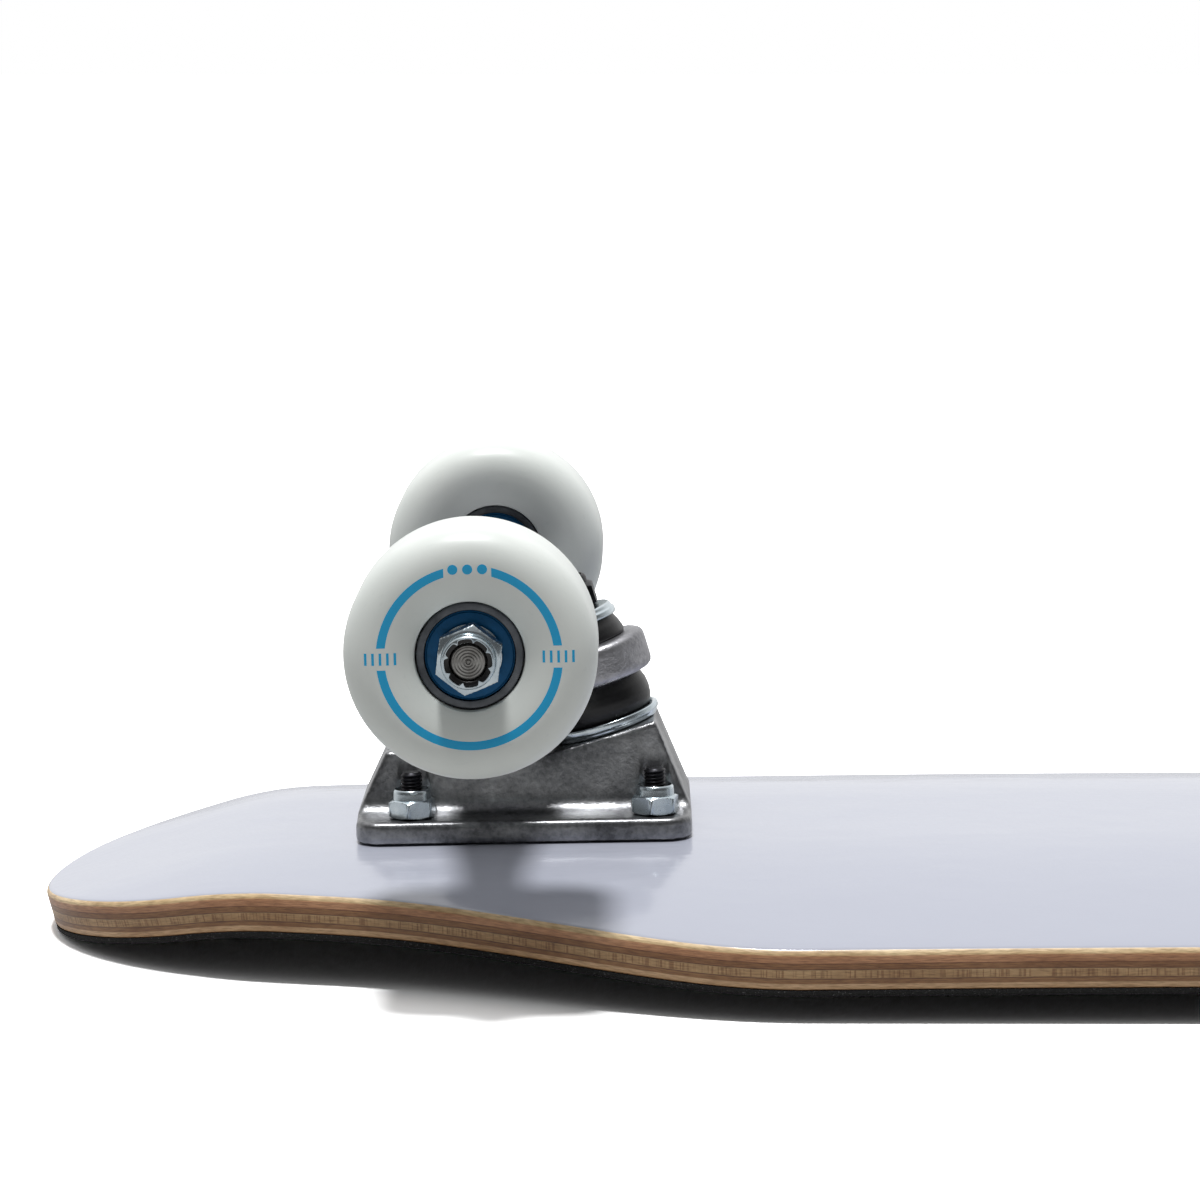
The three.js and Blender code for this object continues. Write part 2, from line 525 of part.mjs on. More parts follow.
function hanger() {
  const half = HANGER_WIDTH / 2;
  const beam = turned([[0, -half], [BEAM_END_RADIUS, -half], [BEAM_END_RADIUS, -half + BEAM_END_LENGTH],
    [BEAM_MIDDLE_RADIUS, -half / 3], [BEAM_MIDDLE_RADIUS, half / 3], [BEAM_END_RADIUS, half - BEAM_END_LENGTH],
    [BEAM_END_RADIUS, half], [0, half]], MEDIUM).translate(AXLE.x, 0, AXLE.z);

  // Two arms spread from the ring to the beam, in the plane of the axle and the ring's middle.
  const reach = Math.hypot(RING_CENTRE.x - AXLE.x, RING_CENTRE.z - AXLE.z);
  const towardsRing = new THREE.Vector3(RING_CENTRE.x - AXLE.x, 0, RING_CENTRE.z - AXLE.z).normalize();
  const armEnd = RING_RADIUS - OVERLAP;
  const arms = prism([[-ARM_HALF_WIDTH, -ARM_ROOT], [ARM_HALF_WIDTH, -ARM_ROOT], [ARM_HALF_WIDTH, ARM_EDGE],
    [armEnd, reach - ARM_LAP], [-armEnd, reach - ARM_LAP], [-ARM_HALF_WIDTH, ARM_EDGE]],
  ARM_THICKNESS, alongY, towardsRing).translate(AXLE.x, 0, AXLE.z);

  // One arm runs from the beam down to the pivot.
  const besideAxle = (x, z) => [AXLE.x + x, AXLE.z + z];
  const pivotArm = prism([besideAxle(-8, 3), besideAxle(-9.5, -4), pivotPoint(PIVOT_MOUTH - 8, 4),
    pivotPoint(PIVOT_MOUTH - 5, -2), pivotPoint(RING_RADIUS, -2), pivotPoint(0, 2), besideAxle(8, -2),
    besideAxle(6, 5)], PIVOT_ARM_THICKNESS, alongX, alongZ);
  const nubRoot = RING_RADIUS - 2 * OVERLAP;
  const nub = onPivot(turned([[0, nubRoot], [NUB_RADIUS, nubRoot], [NECK_RADIUS, RING_RADIUS + NECK_RADIUS],
    [NECK_WAIST_RADIUS, PIVOT_MOUTH - NECK_LENGTH], [NECK_RADIUS, PIVOT_MOUTH - NECK_LENGTH / 3],
    ...nubProfile(0)], MEDIUM));

  // The ring clears the kingpin, and the body clears both washers and the nut, through the full swing.
  const ring = onKingpin(rod(RING_RADIUS, -RING_HALF_HEIGHT, RING_HALF_HEIGHT, FINE));
  const ringHole = KINGPIN_RADIUS + RING_HALF_HEIGHT * Math.tan(HANGER_SWING) + 3 * FIT_GAP;
  const nutClearance = KINGPIN_NUT_FLATS / 2 * NUT_CORNER + SWING_ROOM;
  const washerClearance = UPPER_WASHER_RADIUS + SWING_ROOM;
  const upperPocket = onKingpin(turned([[0, RING_HALF_HEIGHT], [washerClearance, RING_HALF_HEIGHT],
    [washerClearance, KINGPIN_NUT_FOOT + 1], [nutClearance, KINGPIN_NUT_FOOT + SWING_ROOM],
    [nutClearance, 2 * THROUGH], [0, 2 * THROUGH]], FINE));
  const lowerClearance = LOWER_WASHER_RADIUS + SWING_ROOM / 2;
  const lowerPocket = onKingpin(rod(lowerClearance, -2 * THROUGH, -RING_HALF_HEIGHT, FINE));
  const axleBore = rod(AXLE_BORE, -half - OVERLAP, half + OVERLAP, MEDIUM).translate(AXLE.x, 0, AXLE.z);
  const ringBore = onKingpin(rod(ringHole, -RING_HALF_HEIGHT - OVERLAP, RING_HALF_HEIGHT + OVERLAP, MEDIUM));
  return cut(join(beam, arms, pivotArm, nub, ring), ringBore, upperPocket, lowerPocket, axleBore);
}

// ---- Wheel pieces, about the axle's own axis ---------------------------------------------------

// The wheel is symmetric: two bearing seats with a shoulder between them, round sides and a flat tread.
function wheel() {
  const outer = WHEEL_DIAMETER / 2;
  const [halfWide, halfTread] = [WHEEL_WIDTH / 2, TREAD_WIDTH / 2];
  const seat = BEARING_RADIUS + FIT_GAP;
  const shoulder = SPACER_LENGTH / 2 - FIT_GAP;
  const upper = [];
  for (let step = 3; step >= 0; step -= 1) {
    const turn = Math.PI / 2 * step / 3;
    upper.push([WHEEL_FACE_RADIUS + (outer - WHEEL_FACE_RADIUS) * Math.cos(turn),
      halfTread + (halfWide - halfTread) * Math.sin(turn)]);
  }
  upper.unshift([seat - SEAT_SHOULDER, shoulder], [seat, shoulder], [seat, halfWide - WHEEL_DISH]);
  const lower = upper.map(([radius, height]) => [radius, -height]);
  return turned([...lower, ...upper.reverse(), lower[0]], FINE);
}

function bearing() {
  return tube(AXLE_BORE, BEARING_RADIUS, -BEARING_WIDTH / 2, BEARING_WIDTH / 2, MEDIUM);
}

function spacer() {
  const half = SPACER_LENGTH / 2 - FIT_GAP;
  return tube(AXLE_BORE, AXLE_BORE + SPACER_WALL, -half, half, SMALL);
}

// ---- Assembly ----------------------------------------------------------------------------------

function addPiece(group, name, geometry, material, y = 0) {
  const piece = new THREE.Mesh(geometry, material);
  piece.name = name;
  piece.position.y = y;
  group.add(piece);
  return piece;
}

function addWheelSide(truck, prefix, side) {
  const axleLine = new THREE.Group();
  axleLine.position.set(AXLE.x, 0, AXLE.z);
  const axleNut = lockNut(AXLE_NUT_FLATS, AXLE_NUT_HEX, AXLE_NUT_COLLAR, AXLE_BORE, AXLE_NUT_FOOT);
  if (side < 0) axleNut.rotateX(Math.PI);
  addPiece(axleLine, `${prefix}_wheel`, wheel(), materials.wheel, side * WHEEL_MIDDLE);
  addPiece(axleLine, `${prefix}_inner_bearing`, bearing(), materials.bearing, side * INNER_BEARING);
  addPiece(axleLine, `${prefix}_outer_bearing`, bearing(), materials.bearing, side * OUTER_BEARING);
  addPiece(axleLine, `${prefix}_spacer`, spacer(), materials.steel, side * WHEEL_MIDDLE);
  addPiece(axleLine, `${prefix}_axle_nut`, axleNut, materials.zinc);
  truck.add(axleLine);
}

function truck(prefix, station) {
  const group = new THREE.Group();
  const { x, z, slope } = spine(station);
  group.position.set(x, 0, z);
  group.rotation.set(0, slope, station < 0 ? 0 : Math.PI);

  const washerFoot = KINGPIN_SEAT + FIT_GAP;
  const lowerBushing = bushing(LOWER_BUSHING_RADIUS, LOWER_BUSHING_RADIUS + BUSHING_BULGE,
    LOWER_BUSHING_RADIUS, LOWER_WASHER_TOP + FIT_GAP, LOWER_BUSHING_HEIGHT);
  const coneMiddle = (UPPER_BUSHING_FOOT_RADIUS + UPPER_BUSHING_RADIUS) / 2 + FIT_GAP;
  const upperBushing = bushing(UPPER_BUSHING_FOOT_RADIUS, coneMiddle,
    UPPER_BUSHING_RADIUS, UPPER_BUSHING_FOOT, UPPER_BUSHING_HEIGHT);
  const upperWasher = cupWasher(UPPER_WASHER_RADIUS, UPPER_WASHER_FOOT, -1);
  const kingpinNut = onKingpin(lockNut(KINGPIN_NUT_FLATS, KINGPIN_NUT_HEX, KINGPIN_NUT_COLLAR,
    KINGPIN_BORE, KINGPIN_NUT_FOOT));
  const axleEnd = AXLE_NUT_TOP + AXLE_END_ABOVE_NUT;
  const axle = rod(AXLE_RADIUS, -axleEnd, axleEnd, MEDIUM).translate(AXLE.x, 0, AXLE.z);
  addPiece(group, `${prefix}_baseplate`, baseplate(), materials.castAluminium);
  addPiece(group, `${prefix}_pivot_cup`, pivotCup(), materials.urethane);
  addPiece(group, `${prefix}_kingpin`, kingpin(), materials.blackSteel);
  addPiece(group, `${prefix}_lower_washer`, cupWasher(LOWER_WASHER_RADIUS, washerFoot, 1), materials.zinc);
  addPiece(group, `${prefix}_lower_bushing`, lowerBushing, materials.urethane);
  addPiece(group, `${prefix}_upper_bushing`, upperBushing, materials.urethane);
  addPiece(group, `${prefix}_upper_washer`, upperWasher, materials.zinc);
  addPiece(group, `${prefix}_kingpin_nut`, kingpinNut, materials.blackSteel);
  addPiece(group, `${prefix}_hanger`, hanger(), materials.castAluminium);
  addPiece(group, `${prefix}_axle`, axle, materials.steel);

  // The rear truck is turned round, so its sides swap: left stays at -Y on the whole board.
  const leftSide = station < 0 ? -1 : 1;
  addWheelSide(group, `${prefix}_left`, leftSide);
  addWheelSide(group, `${prefix}_right`, -leftSide);

  const nutFoot = PLATE_TOP + FIT_GAP;
  const nutBore = BOLT_RADIUS + FIT_GAP;
  const boltEnd = nutFoot + DECK_NUT_HEX + DECK_NUT_COLLAR + BOLT_END_ABOVE_NUT;
  boltPlaces.forEach(({ x: boltX, y, name }) => {
    const bolt = boltOutline(0, GRIP_FACE, boltEnd);
    const nut = upright(lockNut(DECK_NUT_FLATS, DECK_NUT_HEX, DECK_NUT_COLLAR, nutBore, nutFoot));
    addPiece(group, `${prefix}_bolt_${name}`, bolt.translate(boltX, y, 0), materials.blackSteel);
    addPiece(group, `${prefix}_nut_${name}`, nut.translate(boltX, y, 0), materials.zinc);
  });
  return group;
}

// The bolt holes of both trucks, as cutting tools in the board's frame.
function deckHoles(trucks) {
  return trucks.flatMap((group) => {
    group.updateMatrix();
    return boltPlaces.map((place) => boltHole(place).applyMatrix4(group.matrix));
  });
}

const frontTruck = truck('front', -TRUCK_STATION);
const rearTruck = truck('rear', TRUCK_STATION);
const board = new THREE.Group();
const holes = deckHoles([frontTruck, rearTruck]);
const deck = cut(deckLayer(0, -DECK_THICKNESS, BELLY_ARRIS, GRIP_ARRIS, 2), ...holes);
const gripTape = cut(deckLayer(GRIP_FACE + GRIP_THICKNESS, GRIP_FACE, 0.1, 0.1, 1), ...holes);
addPiece(board, 'deck', deck, materials.maple);
addPiece(board, 'grip_tape', gripTape, materials.grip);
board.add(frontTruck, rearTruck);

// The origin is the middle of the bounding box, on the ground.
const box = new THREE.Box3().setFromObject(board);
board.position.set(-(box.min.x + box.max.x) / 2, -(box.min.y + box.max.y) / 2, -box.min.z);

const skateboard = new THREE.Group();
skateboard.add(board);

export default skateboard;
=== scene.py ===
# A small cruiser skateboard lying upside down: grip side on the floor, wheels up.
# Shapes are drawn in millimetres, in the board's frame or in each truck's own (z = 0 on the belly,
# +X towards the board's middle), and become metres when a piece is put in its place.

import json
import math

import bmesh
import bpy
from mathutils import Matrix, Vector


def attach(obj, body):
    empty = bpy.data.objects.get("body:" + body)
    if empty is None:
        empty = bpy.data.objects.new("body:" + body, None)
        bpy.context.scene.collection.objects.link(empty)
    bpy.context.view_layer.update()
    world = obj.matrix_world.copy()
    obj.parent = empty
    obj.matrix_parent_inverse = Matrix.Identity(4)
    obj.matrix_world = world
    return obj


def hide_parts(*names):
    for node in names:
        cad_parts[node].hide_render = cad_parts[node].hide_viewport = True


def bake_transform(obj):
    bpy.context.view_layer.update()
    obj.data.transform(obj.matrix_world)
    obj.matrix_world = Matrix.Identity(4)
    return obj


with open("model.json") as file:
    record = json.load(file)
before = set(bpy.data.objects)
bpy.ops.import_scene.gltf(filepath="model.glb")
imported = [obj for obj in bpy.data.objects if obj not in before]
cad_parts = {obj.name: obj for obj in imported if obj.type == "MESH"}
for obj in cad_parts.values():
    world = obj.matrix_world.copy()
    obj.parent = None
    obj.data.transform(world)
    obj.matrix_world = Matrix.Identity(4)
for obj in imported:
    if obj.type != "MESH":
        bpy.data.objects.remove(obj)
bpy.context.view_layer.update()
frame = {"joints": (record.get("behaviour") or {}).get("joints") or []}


# ---- Deck board ----
# Seven plies of maple pressed in a mould that gives the rocker, the concave and both kicks. The
# outline is cut square to the board and its edges are rounded over. The belly has a pale lavender
# lacquer, and the edge shows the bare plies under a thin clear coat.

MM = 0.001
PIVOT_ANGLE = math.radians(33)
RING_CENTRE = Vector((13.6, 0, 35.8))
BOLT_LONG, BOLT_WIDE, BOLT_SHIFT = 53.98, 41.28, 2.2
BOLT_RADIUS, BOLT_HEAD_RADIUS, BOLT_HEAD_RIM = 2.4, 4.7, 0.4

INNER_BOLT = 355.6 / 2
OUTER_BOLT = INNER_BOLT + BOLT_LONG
TRUCK_STATION = INNER_BOLT + BOLT_LONG / 2 + BOLT_SHIFT
DECK_WIDTH, DECK_THICKNESS = 190.5, 8.6
SHOULDER_START, SHOULDER_LENGTH = 30, 115
FLAT_HALF_WIDTH, CONCAVE = 20, 0.00165
ROCKER_RADIUS, KICK_START = 10650, 27
BELLY_ARRIS, GRIP_ARRIS = 1.5, 1.0
GRIP_FACE = -9.7
TIP_INSET = 0.93

nose = {"tip": OUTER_BOLT + 87, "waist": 125, "rounding": 72, "bend": 90, "kick": math.radians(15.5)}
tail = {"tip": OUTER_BOLT + 126, "waist": 140, "rounding": 92, "bend": 150, "kick": 0}


def truck_matrix(prefix):
    """Puts a truck's own frame where its turning axis says it is."""
    joint = next(j for j in frame["joints"] if j["name"] == f"{prefix}_truck_turn")
    axis = Vector(joint["axis"])
    lean = math.atan2(axis.z, abs(axis.x)) - PIVOT_ANGLE
    facing = 1 if axis.x > 0 else -1
    turn = Matrix.Rotation(-facing * lean, 4, "Y")
    if facing < 0:
        turn = turn @ Matrix.Rotation(math.pi, 4, "Z")
    return Matrix.Translation(Vector(joint["pos_m"]) - turn @ (RING_CENTRE * MM)) @ turn @ Matrix.Scale(MM, 4)


def spine_of(end, distance):
    """The belly's middle line: a rocker arc, a bend and a straight kick."""
    flat = OUTER_BOLT + KICK_START
    rocker = min(distance, flat) / ROCKER_RADIUS
    bend = min(max((distance - flat) / end["bend"], 0), max(end["kick"] - rocker, 0))
    slope = rocker + bend
    straight = max(distance - flat - bend * end["bend"], 0)
    x = ROCKER_RADIUS * math.sin(rocker) + end["bend"] * (math.sin(slope) - math.sin(rocker))
    z = ROCKER_RADIUS * (math.cos(rocker) - 1) + end["bend"] * (math.cos(slope) - math.cos(rocker))
    return x + straight * math.cos(slope), z - straight * math.sin(slope), slope


def ground_height(end):
    _, z, slope = spine_of(end, end["tip"])
    return z + GRIP_FACE * math.cos(slope)


# The tail's kick is the angle that puts both tips on the floor together.
low_kick, high_kick = 0, math.pi / 4
for _ in range(50):
    tail["kick"] = (low_kick + high_kick) / 2
    if ground_height(tail) > ground_height(nose):
        low_kick = tail["kick"]
    else:
        high_kick = tail["kick"]


def spine(station):
    side = math.copysign(1, station)
    x, z, slope = spine_of(nose if station < 0 else tail, abs(station))
    return side * x, z, side * slope


def side_width(end, distance):
    share = min(max((OUTER_BOLT + SHOULDER_START - distance) / SHOULDER_LENGTH, 0), 1)
    share = share * share * (3 - 2 * share)
    return (end["waist"] + (DECK_WIDTH - end["waist"]) * share) / 2


def deck_point(station, y, height):
    x, z, slope = spine(station)
    lift = height - CONCAVE * max(abs(y) - FLAT_HALF_WIDTH, 0) ** 2
    return x + lift * math.sin(slope), y, z + lift * math.cos(slope)


def deck_outline(round_steps=60, middle_steps=120):
    """The outline's +Y half as (station, half width, outward direction), from nose tip to tail tip."""
    line = []
    for end, sign in ((nose, -1), (tail, 1)):
        start = end["tip"] - end["rounding"]
        half = []
        for step in range(round_steps):
            turn = math.pi / 2 * (1 - step / round_steps)
            distance = start + (end["rounding"] - TIP_INSET) * math.sin(turn)
            half.append((sign * distance, side_width(end, distance) * math.cos(turn)))
        line.append(half)
    first, last = nose["rounding"] - nose["tip"], tail["tip"] - tail["rounding"]
    stations = [first + (last - first) * step / middle_steps for step in range(middle_steps + 1)]
    middle = [(s, side_width(nose if s < 0 else tail, abs(s))) for s in stations]
    points = line[0] + middle + line[1][::-1]
    outline = []
    for number, (station, half) in enumerate(points):
        before, after = points[max(number - 1, 0)], points[min(number + 1, len(points) - 1)]
        along = Vector((after[0] - before[0], after[1] - before[1])).normalized()
        outward = Vector((-along.y, along.x))
        if number in (0, len(points) - 1):
            outward = Vector((math.copysign(1, station), 0))
        outline.append((station, half, outward))
    return outline


def arris(radius, face, steps):
    """The rounded edge below a face: how far in from the side, and at what height."""
    sign = -1 if face > -DECK_THICKNESS / 2 else 1
    turns = [math.pi / 2 * step / steps for step in range(steps + 1)]
    return [(radius * (1 - math.sin(t)), face + sign * radius * (1 - math.cos(t))) for t in turns]


def layer_mesh(name, finishes, top, bottom, top_arris, bottom_arris, across=36):
    """A layer of the deck with rounded edges. Material 0 is its edge and underside, 1 its top face."""
    upper, lower = arris(top_arris, top, 6), arris(bottom_arris, bottom, 4)
    edge = upper[1:] + lower[::-1][:-1]
    points, depths, runs, run, last = [], [], [], 0, None
    outline = deck_outline()
    for station, half, outward in outline:
        if last:
            run += math.hypot(station - last[0], half - last[1])
        last = (station, half)
        ring = []
        for inset, height, direction in ((top_arris, top, 1), (bottom_arris, bottom, -1)):
            limit = half - outward.y * inset
            ring += [(station - outward.x * inset, direction * limit * (1 - 2 * step / across), height)
                     for step in range(across + 1)]
            side = [(station - outward.x * inset_at, half - outward.y * inset_at, height_at)
                    for inset_at, height_at in edge]
            if direction > 0:
                ring += [(s, -y, h) for s, y, h in side]
            else:
                ring += side[::-1]
        points += [deck_point(*place) for place in ring]
        depths += [(top - h) / (top - bottom) for _, _, h in ring]
        runs += [run] * len(ring)
    count = len(points) // len(outline)
    faces, owners = [], []
    for row in range(len(outline) - 1):
        for column in range(count):
            a, b = row * count + column, row * count + (column + 1) % count
            faces.append((a, b, b + count, a + count))
            owners.append(1 if column < across + 2 or column == count - 1 else 0)
    mesh = bpy.data.meshes.new(name)
    mesh.from_pydata(points, [], faces)
    for material in finishes:
        mesh.materials.append(material)
    mesh.polygons.foreach_set("material_index", owners)
    for label, values in (("ply_depth", depths), ("rim_run", runs)):
        mesh.attributes.new(label, "FLOAT", "POINT").data.foreach_set("value", values)
    return cleaned(mesh)


def cleaned(mesh, crease=32):
    """Merges doubles, turns every face outwards, and shades smooth apart from true corners."""
    shell = bmesh.new()
    shell.from_mesh(mesh)
    bmesh.ops.remove_doubles(shell, verts=shell.verts, dist=0.002)
    bmesh.ops.dissolve_degenerate(shell, edges=shell.edges, dist=0.0005)
    bmesh.ops.recalc_face_normals(shell, faces=shell.faces)
    shell.to_mesh(mesh)
    shell.free()
    mesh.shade_smooth()
    mesh.set_sharp_from_angle(angle=math.radians(crease))
    return mesh


def in_scene(name, data):
    """An object in the scene, for a mesh, a lamp or a camera."""
    made = bpy.data.objects.new(name, data)
    bpy.context.scene.collection.objects.link(made)
    return made


def modified(mesh, kind, **settings):
    """The mesh with one modifier applied to it."""
    holder = in_scene("work", mesh)
    modifier = holder.modifiers.new(kind, kind)
    for label, value in settings.items():
        setattr(modifier, label, value)
    bpy.context.view_layer.update()
    view = bpy.context.evaluated_depsgraph_get()
    result = bpy.data.meshes.new_from_object(holder.evaluated_get(view), preserve_all_data_layers=True,
                                             depsgraph=view)
    bpy.data.objects.remove(holder)
    return result


def cut(mesh, tool, operation="DIFFERENCE"):
    """The mesh less a cutting tool, or only what the two share."""
    cutter = in_scene("cutter", tool)
    result = modified(mesh, "BOOLEAN", operation=operation, solver="MANIFOLD", object=cutter)
    bpy.data.objects.remove(cutter)
    return result


def lathe(profile, segments=96):
    """A turned shape about Z. A profile point is (radius, height), with the outside running upwards;
    a radius may be a function of the angle."""
    points, faces = [], []
    for radius, height in profile:
        for step in range(segments):
            angle = math.tau * step / segments
            reach = radius(angle) if callable(radius) else radius
            points.append((reach * math.cos(angle), reach * math.sin(angle), height))
    rings = len(profile)
    for ring in range(rings - (profile[0][0] == 0)):
        here, there = ring * segments, (ring + 1) % rings * segments
        for step in range(segments):
            after = (step + 1) % segments
            faces.append((here + step, here + after, there + after, there + step))
    return points, faces


def solid(profile, segments=96):
    """A turned shape closed across its axis at both ends of the profile."""
    return lathe([(0, profile[0][1]), *profile, (0, profile[-1][1])], segments)


def shape(name, *parts, crease=32):
    """One mesh from parts of (points, faces) or (points, faces, matrix), with a material number for each."""
    points, faces, owners = [], [], []
    for number, part in enumerate(parts):
        start = len(points)
        matrix = part[2] if len(part) > 2 else Matrix.Identity(4)
        points += [matrix @ Vector(point) for point in part[0]]
        faces += [tuple(start + corner for corner in face) for face in part[1]]
        owners += [number] * len(part[1])
    mesh = bpy.data.meshes.new(name)
    mesh.from_pydata(points, [], faces)
    mesh.polygons.foreach_set("material_index", owners)
    return cleaned(mesh, crease)


def place(mesh, name, matrix, body, slot, materials, *nodes):
    """A finished piece in its place, standing for CAD nodes; without a body it is left unattached."""
    own = mesh.copy()
    own.transform(matrix)
    own.name = name
    owners = [0] * len(own.polygons)
    own.polygons.foreach_get("material_index", owners)
    own.materials.clear()
    for material in materials:
        own.materials.append(material)
    own.polygons.foreach_set("material_index", owners)
    piece = in_scene(name, own)
    if body:
        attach(piece, body)
    if nodes:
        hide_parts(*nodes)
    return piece


def hex_colour(code):
    """A colour written as RRGGBB, as a shader's linear values."""
    parts = [int(code[at:at + 2], 16) / 255 for at in (0, 2, 4)]
    return (*[c / 12.92 if c <= 0.04045 else ((c + 0.055) / 1.055) ** 2.4 for c in parts], 1)


def add_node(tree, kind, inputs=None, **settings):
    """A node with its settings; an input is a number, an RRGGBB colour or another node's output."""
    made = tree.nodes.new(kind)
    for label, value in settings.items():
        setattr(made, label, value)
    for socket, value in (inputs or {}).items():
        if isinstance(value, bpy.types.NodeSocket):
            tree.links.new(value, made.inputs[socket])
        else:
            made.inputs[socket].default_value = hex_colour(value) if isinstance(value, str) else value
    return made


def reckon(tree, operation, *values):
    """A Math node's result."""
    return add_node(tree, "ShaderNodeMath", dict(enumerate(values)), operation=operation).outputs[0]


def plus(tree, first, second):
    return reckon(tree, "ADD", first, second)


def minus(tree, first, second):
    return reckon(tree, "SUBTRACT", first, second)


def times(tree, first, second):
    return reckon(tree, "MULTIPLY", first, second)


def below(tree, first, second):
    """1 where the first value is the smaller, and 0 elsewhere."""
    return reckon(tree, "LESS_THAN", first, second)


def colours(tree, factor, stops):
    """A colour ramp's result; a stop is (position, RRGGBB)."""
    ramp = add_node(tree, "ShaderNodeValToRGB", {0: factor})
    elements = ramp.color_ramp.elements
    while len(elements) < len(stops):
        elements.new(0.5)
    for element, (position, code) in zip(elements, stops):
        element.position, element.color = position, hex_colour(code)
    return ramp.outputs[0]


def blended(tree, factor, first, second, kind="MIX"):
    """Two colours mixed by a mask."""
    return add_node(tree, "ShaderNodeMix", {"Factor": factor, 6: first, 7: second},
                    data_type="RGBA", blend_type=kind).outputs[2]


def spread(tree, value, low, high, start=0.0, end=1.0):
    """A value moved from one range to another."""
    return add_node(tree, "ShaderNodeMapRange", {0: value, 1: start, 2: end, 3: low, 4: high}).outputs[0]


def noise(tree, vector, scale, detail=3.0, roughness=0.5):
    return add_node(tree, "ShaderNodeTexNoise", {"Vector": vector, "Scale": scale, "Detail": detail,
                                                 "Roughness": roughness}).outputs[0]


def place_on_piece(tree, stretch=(1, 1, 1)):
    """Object coordinates, stretched where a pattern has a direction."""
    coordinate = add_node(tree, "ShaderNodeTexCoord").outputs["Object"]
    return add_node(tree, "ShaderNodeMapping", {"Vector": coordinate, "Scale": stretch}).outputs[0]


def new_material(name, values):
    """A material whose even values sit on the shader's own sockets."""
    material = bpy.data.materials.new(name)
    material.use_nodes = True
    shader = material.node_tree.nodes["Principled BSDF"]
    for socket, value in values.items():
        shader.inputs[socket].default_value = value
    return material, material.node_tree, shader


def bump(tree, shader, height, strength, distance):
    normal = add_node(tree, "ShaderNodeBump", {"Height": height, "Strength": strength, "Distance": distance})
    tree.links.new(normal.outputs[0], shader.inputs["Normal"])


def node_group(name, family, inputs, outputs):
    """An empty group with its named sockets, and its two ends."""
    group = bpy.data.node_groups.new(name, family)
    for label, kind, value in inputs:
        socket = group.interface.new_socket(label, in_out="INPUT", socket_type=f"NodeSocket{kind}")
        if value is not None:
            socket.default_value = value
    for label, kind in outputs:
        group.interface.new_socket(label, in_out="OUTPUT", socket_type=f"NodeSocket{kind}")
    return group, group.nodes.new("NodeGroupInput").outputs, group.nodes.new("NodeGroupOutput").inputs


# Handling marks: soft smudges and a few fine scratches, used by every smooth finish on the board.
handling, given, result = node_group("handling marks", "ShaderNodeTree",
                                     [("Vector", "Vector", None), ("Smudge scale", "Float", 40.0),
                                      ("Low", "Float", 0.2), ("High", "Float", 0.4)],
                                     [("Roughness", "Float"), ("Mask", "Float")])
smudges = noise(handling, given["Vector"], given["Smudge scale"], 5.0, 0.6)
slanted = add_node(handling, "ShaderNodeMapping", {"Vector": given["Vector"], "Rotation": (0.3, 0.5, 0.7),
                                                   "Scale": (1, 14, 3)}).outputs[0]
scratches = spread(handling, noise(handling, slanted, 150.0, 2.0), 0.0, 1.0, 0.66, 0.72)
wear = plus(handling, spread(handling, smudges, 0.0, 1.0, 0.3, 0.7),
              times(handling, scratches, 0.4))
handling.links.new(spread(handling, wear, given["Low"], given["High"]), result["Roughness"])
handling.links.new(wear, result["Mask"])


def handling_marks(tree, shader, scale, low, high):
    """Drives a finish's roughness with the marks, and gives back their mask."""
    group = add_node(tree, "ShaderNodeGroup", node_tree=handling)
    tree.links.new(place_on_piece(tree), group.inputs["Vector"])
    for socket, value in (("Smudge scale", scale), ("Low", low), ("High", high)):
        group.inputs[socket].default_value = value
    tree.links.new(group.outputs["Roughness"], shader.inputs["Roughness"])
    return group.outputs["Mask"]


lacquer, tree, shader = new_material("belly lacquer", {"IOR": 1.5})
handling_marks(tree, shader, 18.0, 0.10, 0.19)
drifting = blended(tree, noise(tree, place_on_piece(tree), 9.0), "A6A9B6", "ABAEBA")
tree.links.new(drifting, shader.inputs["Base Color"])
orange_peel = noise(tree, place_on_piece(tree, (0.7, 1, 1)), 75.0, 2.0)
fine_streaks = noise(tree, place_on_piece(tree, (0.25, 1, 1)), 420.0, 2.0)
bump(tree, shader, plus(tree, orange_peel, times(tree, fine_streaks, 0.15)), 0.22, 0.0012)

ply_edge, tree, shader = new_material("ply edge", {"IOR": 1.48, "Coat Weight": 0.25, "Coat Roughness": 0.2})
depth = add_node(tree, "ShaderNodeAttribute", attribute_name="ply_depth").outputs["Fac"]
run = add_node(tree, "ShaderNodeAttribute", attribute_name="rim_run").outputs["Fac"]


def rim_noise(along, through, detail=2.0):
    """Noise stretched along the rim: features per millimetre of run, and through the thickness."""
    vector = add_node(tree, "ShaderNodeCombineXYZ", {0: times(tree, run, along),
                                                    1: times(tree, depth, through)}).outputs[0]
    return noise(tree, vector, 1.0, detail)


